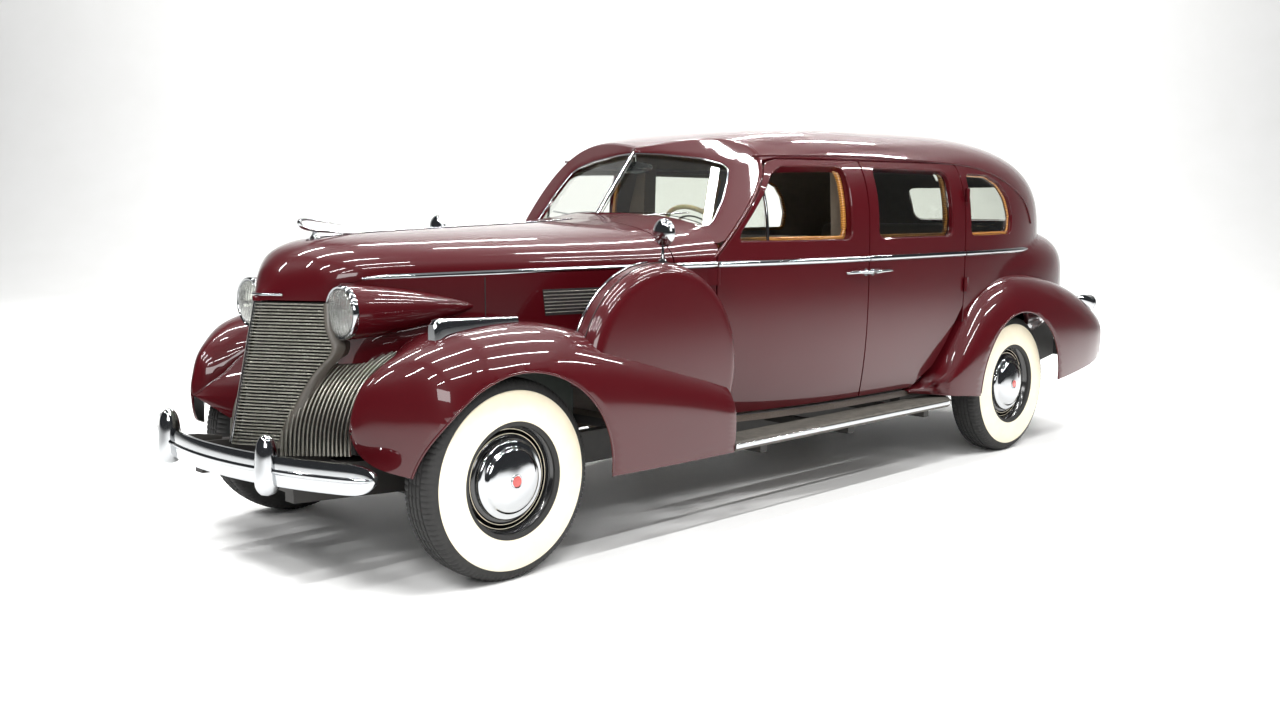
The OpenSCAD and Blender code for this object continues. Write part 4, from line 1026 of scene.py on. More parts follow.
class SEDAN_OT_doors(bpy.types.Operator):
    """Four doors with lining, glass, window mouldings and handles"""

    bl_idname = "sedan.doors"
    bl_label = "Doors"

    def execute(self, context):
        chrome, wood = FINISH["chrome"], FINISH["wood"]
        for word, k in SIDES:
            for place_word, outline, window in (("front", front_door_outline(5), FRONT_WINDOW),
                                                ("rear", rear_door_outline(5), REAR_WINDOW)):
                body = f"{place_word}_door_{word}"
                door_skin(body + "_skin", outline, window, body, body, k)
                loop = inset(window, 7)
                path = sunk(side, 50)(loop[:, 0], loop[:, 1]) * (k, 1, 1)
                moulding(body + "_wood_moulding", [path], 20, 24, wood, body=body, closed=True)
                bead = inset(window, 2)
                path = sunk(side, 5)(bead[:, 0], bead[:, 1]) * (k, 1, 1)
                moulding(body + "_window_bead", [path], 6, 6, FINISH["paint"], body=body, closed=True)
            glass = panel(inset(REAR_WINDOW, 1), [], sunk(side, 26), 40, 5, lip=0.5)
            vent = FRONT_WINDOW[FRONT_WINDOW[:, 0] < 1556]
            vent = inset(resample(vent, 12), 1)
            wing = panel(vent, [], sunk(side, 26), 40, 5, lip=0.5)
            for stock, which in ((glass, "rear"), (wing, "front")):
                stock.to_side(k).build(f"{which}_door_glass_{word}", [FINISH["glass"]], f"{which}_door_{word}",
                                       (f"door_glass_{which}_{word}",))
            post = side(np.full(8, 1560.0), np.linspace(1226, 1506, 8)) - (22, 0, 0)
            moulding(f"vent_post_{word}", [post * (k, 1, 1)], 12, 14, chrome, body=f"front_door_{word}")
            for which, s0, s1 in (("front", 2040, 2196), ("rear", 2400, 2246)):
                s = np.linspace(s0, s1, 14)
                z = 1066 + 3 * np.sin(np.linspace(0, math.pi, 14))
                out = 30 - 20 * np.linspace(1, 0, 14) ** 3
                path = side(s, z) + np.stack([out, 0 * s, 0 * s], -1)
                a = np.radians(np.arange(0, 360, 30))
                size = np.interp(np.linspace(0, 1, 14), [0, 0.15, 0.8, 1], [4, 6, 7.5, 8])
                rings = np.stack([path[i] + np.stack([0.75 * size[i] * np.cos(a), 0 * a, size[i] * np.sin(a)], -1)
                                  for i in range(14)])
                foot = side(np.array([s1]), np.array([1066.0]))[0]
                boss = [(0, 36), (7, 35), (9.5, 30), (9.5, 20), (11, 12), (17, 5), (18, -2), (0, -2)]
                handle = Stock().loft(rings).turned(boss, 24, "x", foot)
                handle.to_side(k).build(f"{which}_door_handle_{word}", [chrome], f"{which}_door_{word}")
        return {"FINISHED"}


class SEDAN_OT_hood(bpy.types.Operator):
    """Hood with its crest, side panels, louvres and ornament"""

    bl_idname = "sedan.hood"
    bl_label = "Hood"

    def execute(self, context):
        paint, chrome = FINISH["paint"], FINISH["chrome"]
        s = np.concatenate([-552 + 150 * np.linspace(0, 1, 32) ** 1.6, np.linspace(-395, COWL_ST, 64)])
        a = np.linspace(0, 90, 38)
        top = np.stack([hood_point(v, a) for v in s])
        low = np.where(s < -394, 1037.0, top[:, 0, 2] + 2)
        skirt = np.stack([np.stack([top[:, 0, 0], s, low + (top[:, 0, 2] - low) * k], -1)
                          for k in (0, 0.35, 0.7)], 1)
        short = top[:, 0, 2] <= low + 1
        skirt[short, :, 2] = (top[short, 0, 2])[:, None] - np.array([0.6, 0.4, 0.2])
        half = np.concatenate([skirt, top], 1)
        whole = np.concatenate([half, (half * (-1, 1, 1))[:, ::-1][:, 1:]], 1)
        nose = whole[0]
        cap = [nose * (1 - k) + nose * (0.1, 1, 1) * k - (0, 14 * k ** 0.5, 0) for k in (1.0, 0.75, 0.45, 0.2)]
        stock = Stock().plate(np.concatenate([np.stack(cap), whole]), 12, 0, 1)
        stock.build("hood_skin", [paint, FINISH["black"]], "hood", ("hood",), sharp=34)
        s = np.linspace(-330, COWL_ST - 4, 60)
        crest = np.stack([0 * s, s, smooth(HOOD_CROWN, s) + 1], -1)
        moulding("hood_crest_strip", [crest], 9, 6, chrome, body="hood")
        # Streamlined blade on the nose: a ribbon that sweeps forward, turns under and runs out on the crest
        knots = np.array([(-172, 1315), (-230, 1324), (-290, 1333), (-330, 1338), (-352, 1335), (-358, 1324),
                          (-349, 1311), (-325, 1301), (-280, 1293), (-220, 1287), (-150, 1282), (-72, 1279)], float)
        t = np.linspace(0, len(knots) - 1, 80)
        order = np.column_stack([np.arange(len(knots)), knots])
        line = np.stack([smooth(order, t, 1), smooth(order, t, 2)], -1)
        wide = np.interp(t, [0, 1, 3, 5, 7, 9, 11], [1.5, 9, 17, 12, 19, 13, 2])
        thick = np.interp(t, [0, 1, 3, 5, 7, 9, 11], [0.8, 2.5, 5.5, 7, 7, 5, 1.5])
        way = np.gradient(line, axis=0)
        way /= np.linalg.norm(way, axis=1, keepdims=True)
        r = np.radians(np.arange(0, 360, 20))
        rings = np.stack([np.stack([wide[i] * np.cos(r), line[i, 0] - way[i, 1] * thick[i] * np.sin(r),
                                    line[i, 1] + way[i, 0] * thick[i] * np.sin(r)], -1) for i in range(80)])
        stem = [(0, 1296), (9, 1295), (13, 1280), (22, 1268), (22, 1252), (0, 1252)]
        blade = Stock().loft(rings).turned(stem, 28, "z", (0, -290, 0))
        blade.build("hood_blade", [chrome], "hood")
        # Plain strip across the nose, over the grille
        x = np.linspace(-108, 108, 31)
        s = solve(lambda v: smooth(PLAN, v) * 0.995 - np.abs(x), np.full(31, -552.0), np.full(31, -300.0))
        nose_strip = np.stack([x, np.maximum(s, -546) - 3, np.full(31, 1058.0)], -1)
        moulding("hood_nose_strip", [nose_strip], 8, 9, chrome, body="hood")
        # Side panels
        s = np.linspace(-372, COWL_ST + 2, 100)
        high = smooth(HOOD_SHOULDER, s) - 2
        rows = [np.stack([smooth(PLAN, s), s, 800 + (high - 800) * k], -1) for k in np.linspace(0, 1, 10)]
        Stock().plate(np.stack(rows), 10).mirror().build("hood_side_panels", [paint], replaces=("hood_sides",))
        # Louvres: bright fins over a black plate that is painted shade for the recess behind them
        s = np.linspace(436, 752, 12)

        def louvre(z, proud):
            return np.stack([smooth(PLAN, s) + proud, s - 0.12 * (z - 1000), 0 * s + z], -1)

        fins = [louvre(z, 15) for z in np.linspace(958, 1042, 7)]
        moulding("hood_louvre_fins", both(fins), 4, 4, FINISH["cast"])
        back = np.stack([louvre(z, 12) for z in (946, 1053)])
        Stock().plate(back, 2).mirror().build("hood_louvre_backs", [FINISH["welt"]])
        seam = np.stack([smooth(PLAN, [186.0, 186.0]) + 10.4, [186, 186], [812, 1110]], -1)
        moulding("hood_side_seams", both([seam]), 1.2, 5, FINISH["welt"])
        return {"FINISHED"}


# Fender coordinates, in mm: run for each root of a mm of station, and height round each section
FENDER_RUN = 28.0
FRONT_ROUND = 1100.0
REAR_ROUND = 900.0


def front_fender_place(u, v):
    """Front fender: u along, v up the outside, over the ridge and down the inside."""
    start = FRONT_FENDER[0][0]
    rows = [(math.sqrt(r[0] - start),) + tuple(r[1:]) for r in FRONT_FENDER]
    q = np.clip(np.asarray(u, float) / FENDER_RUN, 0, rows[-1][0])
    c = [None] + [smooth(rows, q, k) for k in range(1, 8)]
    p = np.clip(np.asarray(v, float) / FRONT_ROUND, 0, 1)
    a1 = np.clip((p - 0.22) / 0.4, 0, 1) * 90
    a2 = np.clip((1 - p) / 0.38, 0, 1) * 90
    wall = np.clip(p / 0.22, 0, 1)
    x_out = c[3] + (c[5] - c[3]) * bow(a1, 2.3)
    z_out = c[6] + (c[4] - c[6]) * bow(90 - a1, 2.3)
    x_in = c[3] + (c[1] - c[3]) * bow(a2, 1.8)
    z_in = c[2] + (c[4] - c[2]) * bow(90 - a2, 1.8)
    x = np.where(p < 0.22, c[5] - 10 * (1 - wall) ** 2, np.where(p < 0.62, x_out, x_in))
    z = np.where(p < 0.22, c[7] + (c[6] - c[7]) * wall, np.where(p < 0.62, z_out, z_in))
    return np.stack([x, start + q * q, z], -1)


def rear_fender_place(u, v):
    """Rear fender: u along from its tail, v up the outside to the body."""
    stop = REAR_FENDER[-1][0]
    rows = [(math.sqrt(stop - r[0]),) + tuple(r[1:]) for r in REAR_FENDER[::-1]]
    q = np.clip(np.asarray(u, float) / FENDER_RUN, 0, rows[-1][0])
    c = [None] + [smooth(rows, q, k) for k in range(1, 6)]
    p = np.clip(np.asarray(v, float) / REAR_ROUND, 0, 1)
    a1 = np.clip((p - 0.25) / 0.75, 0, 1) * 90
    wall = np.clip(p / 0.25, 0, 1)
    x = np.where(p < 0.25, c[3] - 8 * (1 - wall) ** 2, c[1] + (c[3] - c[1]) * bow(a1, 2.4))
    z = np.where(p < 0.25, c[5] + (c[4] - c[5]) * wall, c[4] + (c[2] - c[4]) * bow(90 - a1, 2.4))
    return np.stack([x, stop - q * q, z], -1)


def arch_notch(place, centre, radius, u_of, top_v):
    """Wheel arch in the fender's own coordinates."""
    pts = []
    for a in np.linspace(math.pi * 1.03, -math.pi * 0.06, 70):
        s, z = centre + radius * math.cos(a), AXLE_Z + radius * math.sin(a)
        u = u_of(s)
        if z <= place(u, 0.0)[2]:
            continue
        v = float(solve(lambda t: place(np.full(t.shape, u), t)[..., 2] - z, np.zeros(1), np.full(1, top_v))[0])
        pts.append((u, v))
    return np.array(pts)


class SEDAN_OT_fenders(bpy.types.Operator):
    """Front and rear fenders and the covers of the spare wheels"""

    bl_idname = "sedan.fenders"
    bl_label = "Fenders"

    def execute(self, context):
        paint = FINISH["paint"]
        start, stop = FRONT_FENDER[0][0], REAR_FENDER[-1][0]
        # Name, surface, height round it, last station, arch (centre, radius, highest v), start, direction
        cases = (("front", front_fender_place, FRONT_ROUND, FRONT_FENDER[-1][0], (0.0, 412.0, 600), start, 1),
                 ("rear", rear_fender_place, REAR_ROUND, REAR_FENDER[0][0], (WHEELBASE - 45, 416.0, 700), stop, -1))
        for which, place, high, last, (centre, radius, top_v), base, way in cases:
            def run(s):
                return FENDER_RUN * math.sqrt(way * (s - base))

            end = run(last)
            arch = arch_notch(place, centre, radius, run, top_v)[::way]
            loop = np.vstack([[(2, 0)], [(arch[0, 0], 0)], arch, [(arch[-1, 0], 0)], [(end, 0)], [(end, high)],
                              [(2, high)]])
            stock = panel(resample(loop, 12), [], place, 16.5, 9, 1)
            stock.mirror().build(f"{which}_fender_skins", [paint, FINISH["chassis"]], replaces=(f"{which}_fenders",),
                                 sharp=44)
            lip = place(arch[:, 0], arch[:, 1]) - (3, 0, 0)
            moulding(f"{which}_arch_beads", both([lip]), 9, 9, paint)
        # Dark walls inside the rear wheel arches
        s, k = np.meshgrid(np.linspace(3160, 4600, 30), np.linspace(0, 1, 12), indexing="ij")
        foot = np.interp(s, [3700, 3900, 4300, 4600], [445, 385, 395, 440])
        z = foot + (900 - foot) * k
        Stock().plate(np.stack([0 * s + 604, s, z], -1), 3).mirror().build("rear_wheel_housings", [FINISH["chassis"]])
        # Spare wheel covers: domed outside, deep rim
        face = [(0, 905)] + [(r, 905 - 7 * (r / 380) ** 2) for r in (60, 120, 180, 240, 300, 340, 370)]
        face += [(380 + 60 * math.sin(t), 838 + 60 * math.cos(t)) for t in np.radians(np.arange(5, 91, 7))]
        face += [(440, 800), (439, 784), (432, 776), (300, 775), (0, 774.5)]
        cover = Stock().turned(face, 120, "x", (0, SPARE_ST, SPARE_Z))
        pts = np.concatenate(cover.points)
        cut = 780 - (pts[:, 1] - 260) * math.tan(math.radians(17))
        pts[:, 2] = np.maximum(pts[:, 2], np.minimum(cut - 60, pts[:, 2].max()))
        cover.points = [pts]
        cover.mirror().build("spare_wheel_covers", [paint], replaces=("spare_covers",))
        for name, x, r, low, high, n, across, up, finish in (
                ("spare_cover_strips", 782, 441.5, 92, 178, 40, 12, 5, "chrome"),
                ("spare_cover_joints", 838, 441, 12, 168, 60, 4, 3, "welt")):
            a = np.radians(np.linspace(low, high, n))
            hoop = np.stack([0 * a + x, SPARE_ST + r * np.cos(a), SPARE_Z + r * np.sin(a)], -1)
            moulding(name, both([hoop]), across, up, FINISH[finish])
        return {"FINISHED"}


class SEDAN_OT_trunk_lid(bpy.types.Operator):
    """Lid of the luggage compartment with its handle"""

    bl_idname = "sedan.trunk_lid"
    bl_label = "Trunk lid"

    def execute(self, context):
        def outside(x, v):
            return lid_place(x, v, LID_PROUD)

        stock = panel(lid_outline(0), [], outside, context.scene.sedan_sizes.pitch, 6, 1, lip=1.5)
        stock.build("trunk_lid_skin", [FINISH["paint"], FINISH["chassis"]], "trunk_lid", ("trunk_lid",), sharp=36)
        v = np.linspace(-40, 225, 30)
        rib = outside(0 * v, v)
        moulding("trunk_lid_strip", [rib], 12, 8, FINISH["chrome"], body="trunk_lid")
        at = outside(0.0, -78.0)
        grip = Stock().turned([(0, 44), (10, 42), (13, 34), (13, 14), (22, 8), (24, -4), (0, -4)], 28, "y", at)
        bow = 4 * np.cos(np.linspace(-1.5, 1.5, 15))
        bar = np.stack([np.linspace(-62, 62, 15), at[1] + 34 + bow, np.full(15, at[2])], -1)
        a = np.radians(np.arange(0, 360, 30))
        size = 8 * np.clip(1 - np.linspace(-1, 1, 15) ** 6, 0.1, 1)
        rings = np.stack([bar[i] + size[i] * np.stack([0 * a, np.cos(a), np.sin(a)], -1) for i in range(15)])
        grip.loft(rings).build("trunk_lid_handle", [FINISH["chrome"]], "trunk_lid")
        return {"FINISHED"}


def grille_point(x, z, back=0.0):
    """V-shaped face of the radiator grille, its prow slightly rounded."""
    x = np.asarray(x, float)
    s = GRILLE_ST - GRILLE_LEAN * (GRILLE_TOP - z) + GRILLE_SWEEP * (np.sqrt(x * x + 256) - 16) + back
    return np.stack([x, s, z + 0 * x], -1)


class SEDAN_OT_grilles(bpy.types.Operator):
    """Radiator grille, its shell and the fender grilles"""

    bl_idname = "sedan.grilles"
    bl_label = "Grilles"

    def execute(self, context):
        sizes = context.scene.sedan_sizes
        chrome = FINISH["chrome"]
        bars = []
        for z in np.linspace(500, 1024, sizes.grille_bars):
            w = float(smooth(GRILLE, z)) - 4
            bars.append(grille_point(np.linspace(-w, w, 25), z))
        moulding("radiator_grille_bars", bars, 12, 5, FINISH["cast"], replaces=("radiator_grille",))
        z = np.linspace(492, 1030, 60)
        w = smooth(GRILLE, z)
        t = np.linspace(-1, 1, 21)
        core = np.stack([grille_point(w[i] * t, z[i], 30.0) for i in range(60)])
        Stock().plate(core, -20).build("radiator_core", [FINISH["core"]])
        lips = ((1, 16), (1, -8), (5, -12), (13, -11), (18, -4), (22, 26))
        rim = np.stack([grille_point(w + d, z, b) for d, b in lips])
        # The shell round the grille is grey: a painted reflection of the floor
        Stock().plate(rim, 3).mirror().build("radiator_shell", [FINISH["grey"]])
        nose = grille_point(np.zeros(30), np.linspace(494, 1034, 30), -5.0)
        moulding("radiator_prow", [nose], 7, 10, chrome)
        # Fender grilles: upright bars on a swept line, which follow an arc back under the catwalk
        count = sizes.fender_bars
        ends = np.radians([10 + 60 * math.sin(math.radians(min(90, 11.5 * i))) for i in range(count)])
        feet = np.stack([np.linspace(198, 388, count), np.linspace(-574, -402, count), np.full(count, 497.0)], -1)

        def arc(i, a, radius):
            return feet[i] + np.stack([0 * a, 360 - radius * np.cos(a), radius * np.sin(a)], -1)

        paths = [np.vstack([feet[i] - (0, 0, 32), feet[i] - (0, 0, 16), arc(i, np.linspace(0, ends[i], 26), 360)])
                 for i in range(count)]
        moulding("fender_grille_bars", both(paths), 8, 12, FINISH["cast"], corner=4, replaces=("fender_grilles",))
        # Black finned plates behind the fender grilles: painted shade for the hollows there
        back = np.stack([arc(i, np.linspace(-0.09, ends[i], 24), 336) for i in range(count)])
        Stock().plate(back, 8).mirror().build("fender_grille_backs", [FINISH["core"]])
        # Painted walls from the outer bars to the inside of the fenders
        wall = paths[-1]
        start = FRONT_FENDER[0][0]
        at = np.interp(wall[:, 2], [600, 640, 690, 765, 805, 838], [start + 2, -488, -420, -338, -280, -180])
        far = front_fender_place(FENDER_RUN * np.sqrt(at - start), np.full(len(at), FRONT_ROUND))
        web = np.stack([wall * (1 - k) + far * k for k in np.linspace(0, 1, 8)])
        Stock().plate(web, 4).mirror().build("fender_walls", [FINISH["paint"]])
        # Shells between the radiator grille, the hood and the fender grilles, grey as a painted reflection of the floor
        z = np.linspace(465, 1000, 40)
        inner = grille_point(smooth(GRILLE, np.maximum(z, 492)) + 20, z, 12.0)
        edge = np.vstack([paths[0][:1], [q[-1] for q in paths[:8]], [(326, -300, 1000)]])
        outer = np.stack([np.interp(z, edge[:, 2], edge[:, 0]) - 8, np.interp(z, edge[:, 2], edge[:, 1]) + 4, z], -1)
        mid = (inner + outer) / 2 - (0, 16, 0)
        k = np.linspace(0, 1, 12)[:, None, None]
        web = (1 - k) ** 2 * inner + 2 * k * (1 - k) * mid + k ** 2 * outer
        Stock().plate(web, 4).mirror().build("catwalk_shells", [FINISH["grey"]])
        return {"FINISHED"}


class SEDAN_OT_lamps(bpy.types.Operator):
    """Headlamps, parking lamps, tail lamps and mirrors"""

    bl_idname = "sedan.lamps"
    bl_label = "Lamps and mirrors"

    def execute(self, context):
        chrome = FINISH["chrome"]
        at = (348, -388, 998)
        u = np.concatenate([np.linspace(0, 0.9, 40), 1 - 0.1 * np.linspace(1, 0, 16)[1:] ** 2])
        shape = [(88, 4), (96, -2), (101, 0)] + [(102 * max(0, 1 - v ** 1.6) ** 0.9, 553 * v) for v in u]
        pod = Stock().turned(shape, 72, "y", at)
        for p in pod.points:
            p[:, 0] += 0.17 * np.clip(p[:, 1] - at[1], 0, None)
        pod.mirror().build("headlamp_pods", [FINISH["paint"]], replaces=("headlamps",))
        ring = [(86, 6), (87, -10), (91, -16), (97, -17), (102, -12), (103.5, -4), (102.5, 6)]
        Stock().turned(ring, 72, "y", at).mirror().build("headlamp_rims", [chrome])
        a = np.radians(np.arange(0, 91, 9))
        front = [(88 * math.cos(v), -10 - 22 * math.sin(v)) for v in a]
        rear = [(86 * math.cos(v), -7 - 22 * math.sin(v)) for v in a[-2::-1]]
        lens = Stock().turned([(89, -8)] + front + [(0, -29)] + rear + [(89, -8)], 64, "y", at)
        lens.mirror().build("headlamp_glass", [FINISH["lens"]], replaces=("headlamp_lenses",))
        cup = [(86 * math.cos(v), 62 * math.sin(v)) for v in np.radians(np.arange(0, 91, 6))]
        bowl = Stock().turned([(88, -4)] + cup, 48, "y", at)
        bowl.turned([(0, -2), (9, 0), (13, 10), (11, 24), (8, 40), (8, 60)], 24, "y", at, 1)
        bowl.mirror().build("headlamp_bowls", [FINISH["bowl"], FINISH["lens"]])
        # Parking lamps: flat-topped bars along the fender ridges
        t = np.linspace(0, 1, 26)
        s = -246 + 390 * t
        half = 30 - 21 * t ** 1.3
        half[0], half[1] = 20, 28
        crown = np.interp(t, [0, 0.03, 0.08, 1], [968, 984, 990, 974])
        foot = smooth(FRONT_FENDER, s, 4) - 14
        a = np.radians(np.arange(0, 181, 10))
        flat, rise = np.sign(np.cos(a)) * np.abs(np.cos(a)) ** 0.5, np.abs(np.sin(a)) ** 0.4
        rings = np.stack([np.stack([702 + 6 * t[i] + half[i] * flat, s[i] + 0 * a,
                                    foot[i] + (crown[i] - foot[i]) * rise], -1) for i in range(26)])
        Stock().plate(rings, 2).add(rings[0], [tuple(range(19))]).mirror().build(
            "parking_lamp_bodies", [chrome], replaces=("parking_lamps",), sharp=30)
        # Tail lamps: pods with ruby lenses
        at = (812, 4602, 780)
        shape = [(46 * (1 - v ** 1.8) + 8 * v, -120 * v) for v in np.linspace(0.05, 1, 16)]
        pod = Stock().turned([(42, 34), (46, 30), (46, 0)] + shape + [(0, -124)], 48, "y", at)
        for p in pod.points:
            p += np.clip(at[1] - p[:, 1], 0, None)[:, None] * (-0.06, 0, 0.26)
        pod.mirror().build("tail_lamp_pods", [chrome], replaces=("tail_lamps",))
        ring = [(38, 30), (39, 38), (44, 40), (47, 36), (47, 26)]
        Stock().turned(ring, 48, "y", at).mirror().build("tail_lamp_rims", [chrome])
        dome = [(39, 32)] + [(39 * math.cos(v), 34 + 16 * math.sin(v)) for v in np.radians(np.arange(0, 91, 10))]
        Stock().turned(dome, 40, "y", at).mirror().build("tail_lamp_glass", [FINISH["ruby"]])
        # Outside mirrors on stalks that stand on the spare wheel covers
        head = [(0, 13), (50, 11), (56, 12), (58, 6), (57, -2), (48, -12), (30, -19), (0, -22)]
        stalk = [(6, 0), (5.5, -60), (7, -96), (10, -108), (19, -114), (20, -131), (0, -133)]
        glass = Stock().turned(head, 56, "y", (790, 856, 1280)).turned(stalk, 24, "z", (790, 852, 1280))
        glass.mirror().build("outside_mirrors", [chrome], replaces=("mirrors",))
        return {"FINISHED"}


class SEDAN_OT_bumpers(bpy.types.Operator):
    """Bumpers with their guards and irons"""

    bl_idname = "sedan.bumpers"
    bl_label = "Bumpers"

    def execute(self, context):
        chrome = FINISH["chrome"]
        section = np.array([(26, -50), (12, -56), (5, -54), (1, -44), (-1, -24), (-1.5, -10), (-6, -6), (-7.5, 0),
                            (-6, 6), (-1.5, 10), (-1, 24), (1, 44), (5, 54), (12, 56), (26, 50)])
        for which, face, k in (("front", -790.0, 1), ("rear", 4900.0, -1)):
            t = np.concatenate([np.linspace(-1, -0.86, 16), np.linspace(-0.85, 0.85, 70), np.linspace(0.86, 1, 16)])
            ang = np.radians(27.6) * t
            tall = np.sqrt(np.clip(1 - (np.clip(np.abs(t) - 0.86, 0, None) / 0.142) ** 2.6, 0.01, 1))
            r = BUMPER_R - section[:, 0]
            rows = np.stack([np.stack([r * math.sin(a), face + k * (BUMPER_R - r * math.cos(a)),
                                       BUMPER_Z + section[:, 1] * h + 10 * (1 - h)], -1) for a, h in zip(ang, tall)])
            Stock().loft(rows).build(f"{which}_bumper_bar", [chrome], replaces=(f"{which}_bumper",))

            def back(x):
                return face + k * (BUMPER_R * (1 - math.cos(math.asin(x / BUMPER_R))))

            v = np.linspace(-1, 1, 30)
            a = np.radians(np.arange(0, 360, 12))
            wide = 40 * (1 - np.abs(v) ** 3.4) ** 0.5 * (1 - 0.1 * v)
            deep = 44 * (1 - np.abs(v) ** 4) ** 0.5 * (1 - 0.18 * v)
            rings = np.stack([np.stack([wide[i] * np.cos(a), -k * deep[i] * np.sin(a), 0 * a + 113 * v[i]], -1)
                              for i in range(30)])
            guard = Stock().grid(rings + (390, back(390) + k * 8, 483), close_v=True)
            guard.mirror().build(f"{which}_bumper_guards", [chrome])
            s0 = back(352) + k * 22
            iron = np.array([(352, s0, BUMPER_Z), (352, s0 + k * 90, 460), (358, s0 + k * 190, 440)])
            moulding(f"{which}_bumper_irons", both([iron]), 14, 50, FINISH["chassis"])
        return {"FINISHED"}


class SEDAN_OT_running_boards(bpy.types.Operator):
    """Running boards with ribbed mats and bright edges"""

    bl_idname = "sedan.running_boards"
    bl_label = "Running boards"

    def execute(self, context):
        s = np.concatenate([1140 + 60 * np.linspace(0, 1, 12) ** 2, np.linspace(1210, 2780, 60),
                            2790 + 120 * np.sin(np.linspace(0, math.pi / 2, 16))])
        x_out = 948 - 70 * np.clip((s - 2790) / 120, 0, 1) ** 3
        ribs = []
        for i in range(13):
            c = 0.05 + 0.86 * i / 12
            ribs += [(c - 0.022, 0), (c - 0.017, 4), (c + 0.017, 4), (c + 0.022, 0)]
        edge = [(0.96, 1), (0.985, -4), (1, -12), (1, -30), (0.97, -38), (0.9, -38)]
        section = np.array([(0, -24), (0, 0)] + ribs + edge)
        rows = np.stack([np.stack([790 + (x_out[i] - 790) * section[:, 0], np.full(len(section), s[i]),
                                   383 + section[:, 1]], -1) for i in range(len(s))])
        Stock().loft(rows).mirror().build("running_board_mats", [FINISH["mat"]], replaces=("running_boards",), sharp=30)
        edge = np.stack([x_out + 1, s, np.full(len(s), 366.0)], -1)
        moulding("running_board_edges", both([edge]), 5, 20, FINISH["chrome"])
        return {"FINISHED"}


class SEDAN_OT_wheels(bpy.types.Operator):
    """Tyres with pale sidewalls, pressed wheels and hub caps"""

    bl_idname = "sedan.wheels"
    bl_label = "Wheels"

    def execute(self, context):
        sizes = context.scene.sedan_sizes
        pale, cap = (sizes.white_in, sizes.white_out), sizes.cap
        wall = [(204, 84), (212, 90), (pale[0], 92), (pale[0] + 1.5, 94), (250, 97.5), (285, 98.5), (315, 95.5),
                (pale[1] - 1.5, 89.5), (pale[1], 87), (350, 84), (360, 80), (368, 75)]
        tread = [(374, 68), (378, 60), (380, 46), (380.5, 38), (374, 36), (374, 31), (381.5, 29), (382.5, 16),
                 (376, 14), (376, 9), (383, 7), (383, -7)]
        half = np.array(wall + tread)
        profile = np.vstack([half, half[::-1] * (1, -1)])
        rim = [(206, -84), (216, -88), (220, -84), (214, -76), (200, -70), (184, -56), (182, 20), (196, 66),
               (206, 74), (212, 84), (218, 90), (223, 90), (225, 85), (219, 82)]
        disc = [(183, 22), (176, 40), (166, 50), (156, 54), (140, 52), (84, 30), (72, -26), (0, -28)]
        hub = [(0, -30), (70, -30), (80, 20), (150, 36), (182, 10)]
        dome = [(cap - 4, 50), (cap, 58), (cap, 66), (cap - 4, 72), (cap - 12, 75), (cap - 22, 75), (cap - 27, 78),
                (cap - 31, 86), (cap - 38, 91), (90, 97), (60, 102), (30, 105), (25, 105.5)]
        bezel = [(25, 104), (26, 107), (24, 108.5), (21, 108)]
        badge = [(21.5, 107), (20, 109), (10, 110), (0, 110.3)]
        # Tread blocks: every fourth step cut at the shoulders, every eighth across the middle
        n = 432
        a = 2 * math.pi * np.arange(n) / n
        r = np.tile(profile[:, 0], (n, 1))
        shoulder = (np.abs(profile[:, 1]) > 44) & (profile[:, 0] > 355)
        r[np.ix_(np.arange(n) % 4 == 0, shoulder)] -= 4.5
        middle = (np.abs(profile[:, 1]) < 31) & (profile[:, 0] > 378)
        r[np.ix_(np.arange(n) % 8 == 2, middle)] -= 3.0
        pts = np.stack([np.tile(profile[:, 1], (n, 1)), r * np.cos(a)[:, None], r * np.sin(a)[:, None]], -1)
        for axle, station, x in (("front", 0.0, 768.5), ("rear", WHEELBASE, 794.0)):
            at = (x, station, AXLE_Z)
            for word, k in SIDES:
                tyre = Stock().grid(pts, close_u=True, close_v=True)
                tyre.finish = [1 if 2 <= j <= 7 else 0 for j in range(len(profile))] * n
                tyre.move(at)
                wheel = Stock().turned(rim, 96, "x", at).turned(disc, 96, "x", at).turned(hub, 64, "x", at)
                wheel.turned(dome, 96, "x", at, 1).turned(bezel, 48, "x", at, 1).turned(badge, 40, "x", at, 2)
                for r in (171, 188.6):
                    h = float(np.interp(r, [166, 176, 184, 196], [50, 40, 27, 66]))
                    wheel.turned([(r - 1.4, h + 0.7), (r, h + 1.4), (r + 1.4, h + 0.7)], 96, "x", at, 3)
                body = f"wheel_{axle}_{word}"
                looks = [FINISH[f] for f in ("black", "chrome", "red", "whitewall")]
                tyre.to_side(k).build(f"tyre_{axle}_{word}_rubber", [FINISH["rubber"], FINISH["whitewall"]], body,
                                      (f"tyre_{axle}_{word}",), sharp=40)
                wheel.to_side(k).build(f"road_wheel_{axle}_{word}", looks, body, (f"wheel_{axle}_{word}",), sharp=40)
        return {"FINISHED"}


def bench_profile(depth, high, lean):
    """Side view of a bench cushion or back, with rounded corners."""
    return rounded([(0, 0), (depth, 0), (depth + lean, high), (lean - 25, high + 15)], 55, 24)


def pad(loop, half, at):
    """Closed block: an outline in side view (station, height) carried across the car."""
    loop = np.asarray(loop, float)
    x = np.concatenate([[-half, -half + 8], np.linspace(-half + 30, half - 30, 41), [half - 8, half]])
    rows = []
    for v in x:
        edge = max(0.0, abs(v) - (half - 30)) / 30
        rows.append(np.column_stack([np.full(len(loop), v), inset(loop, 22 * edge ** 2)]))
    rows = np.stack(rows) + np.asarray(at, float)
    return Stock().loft(rows)


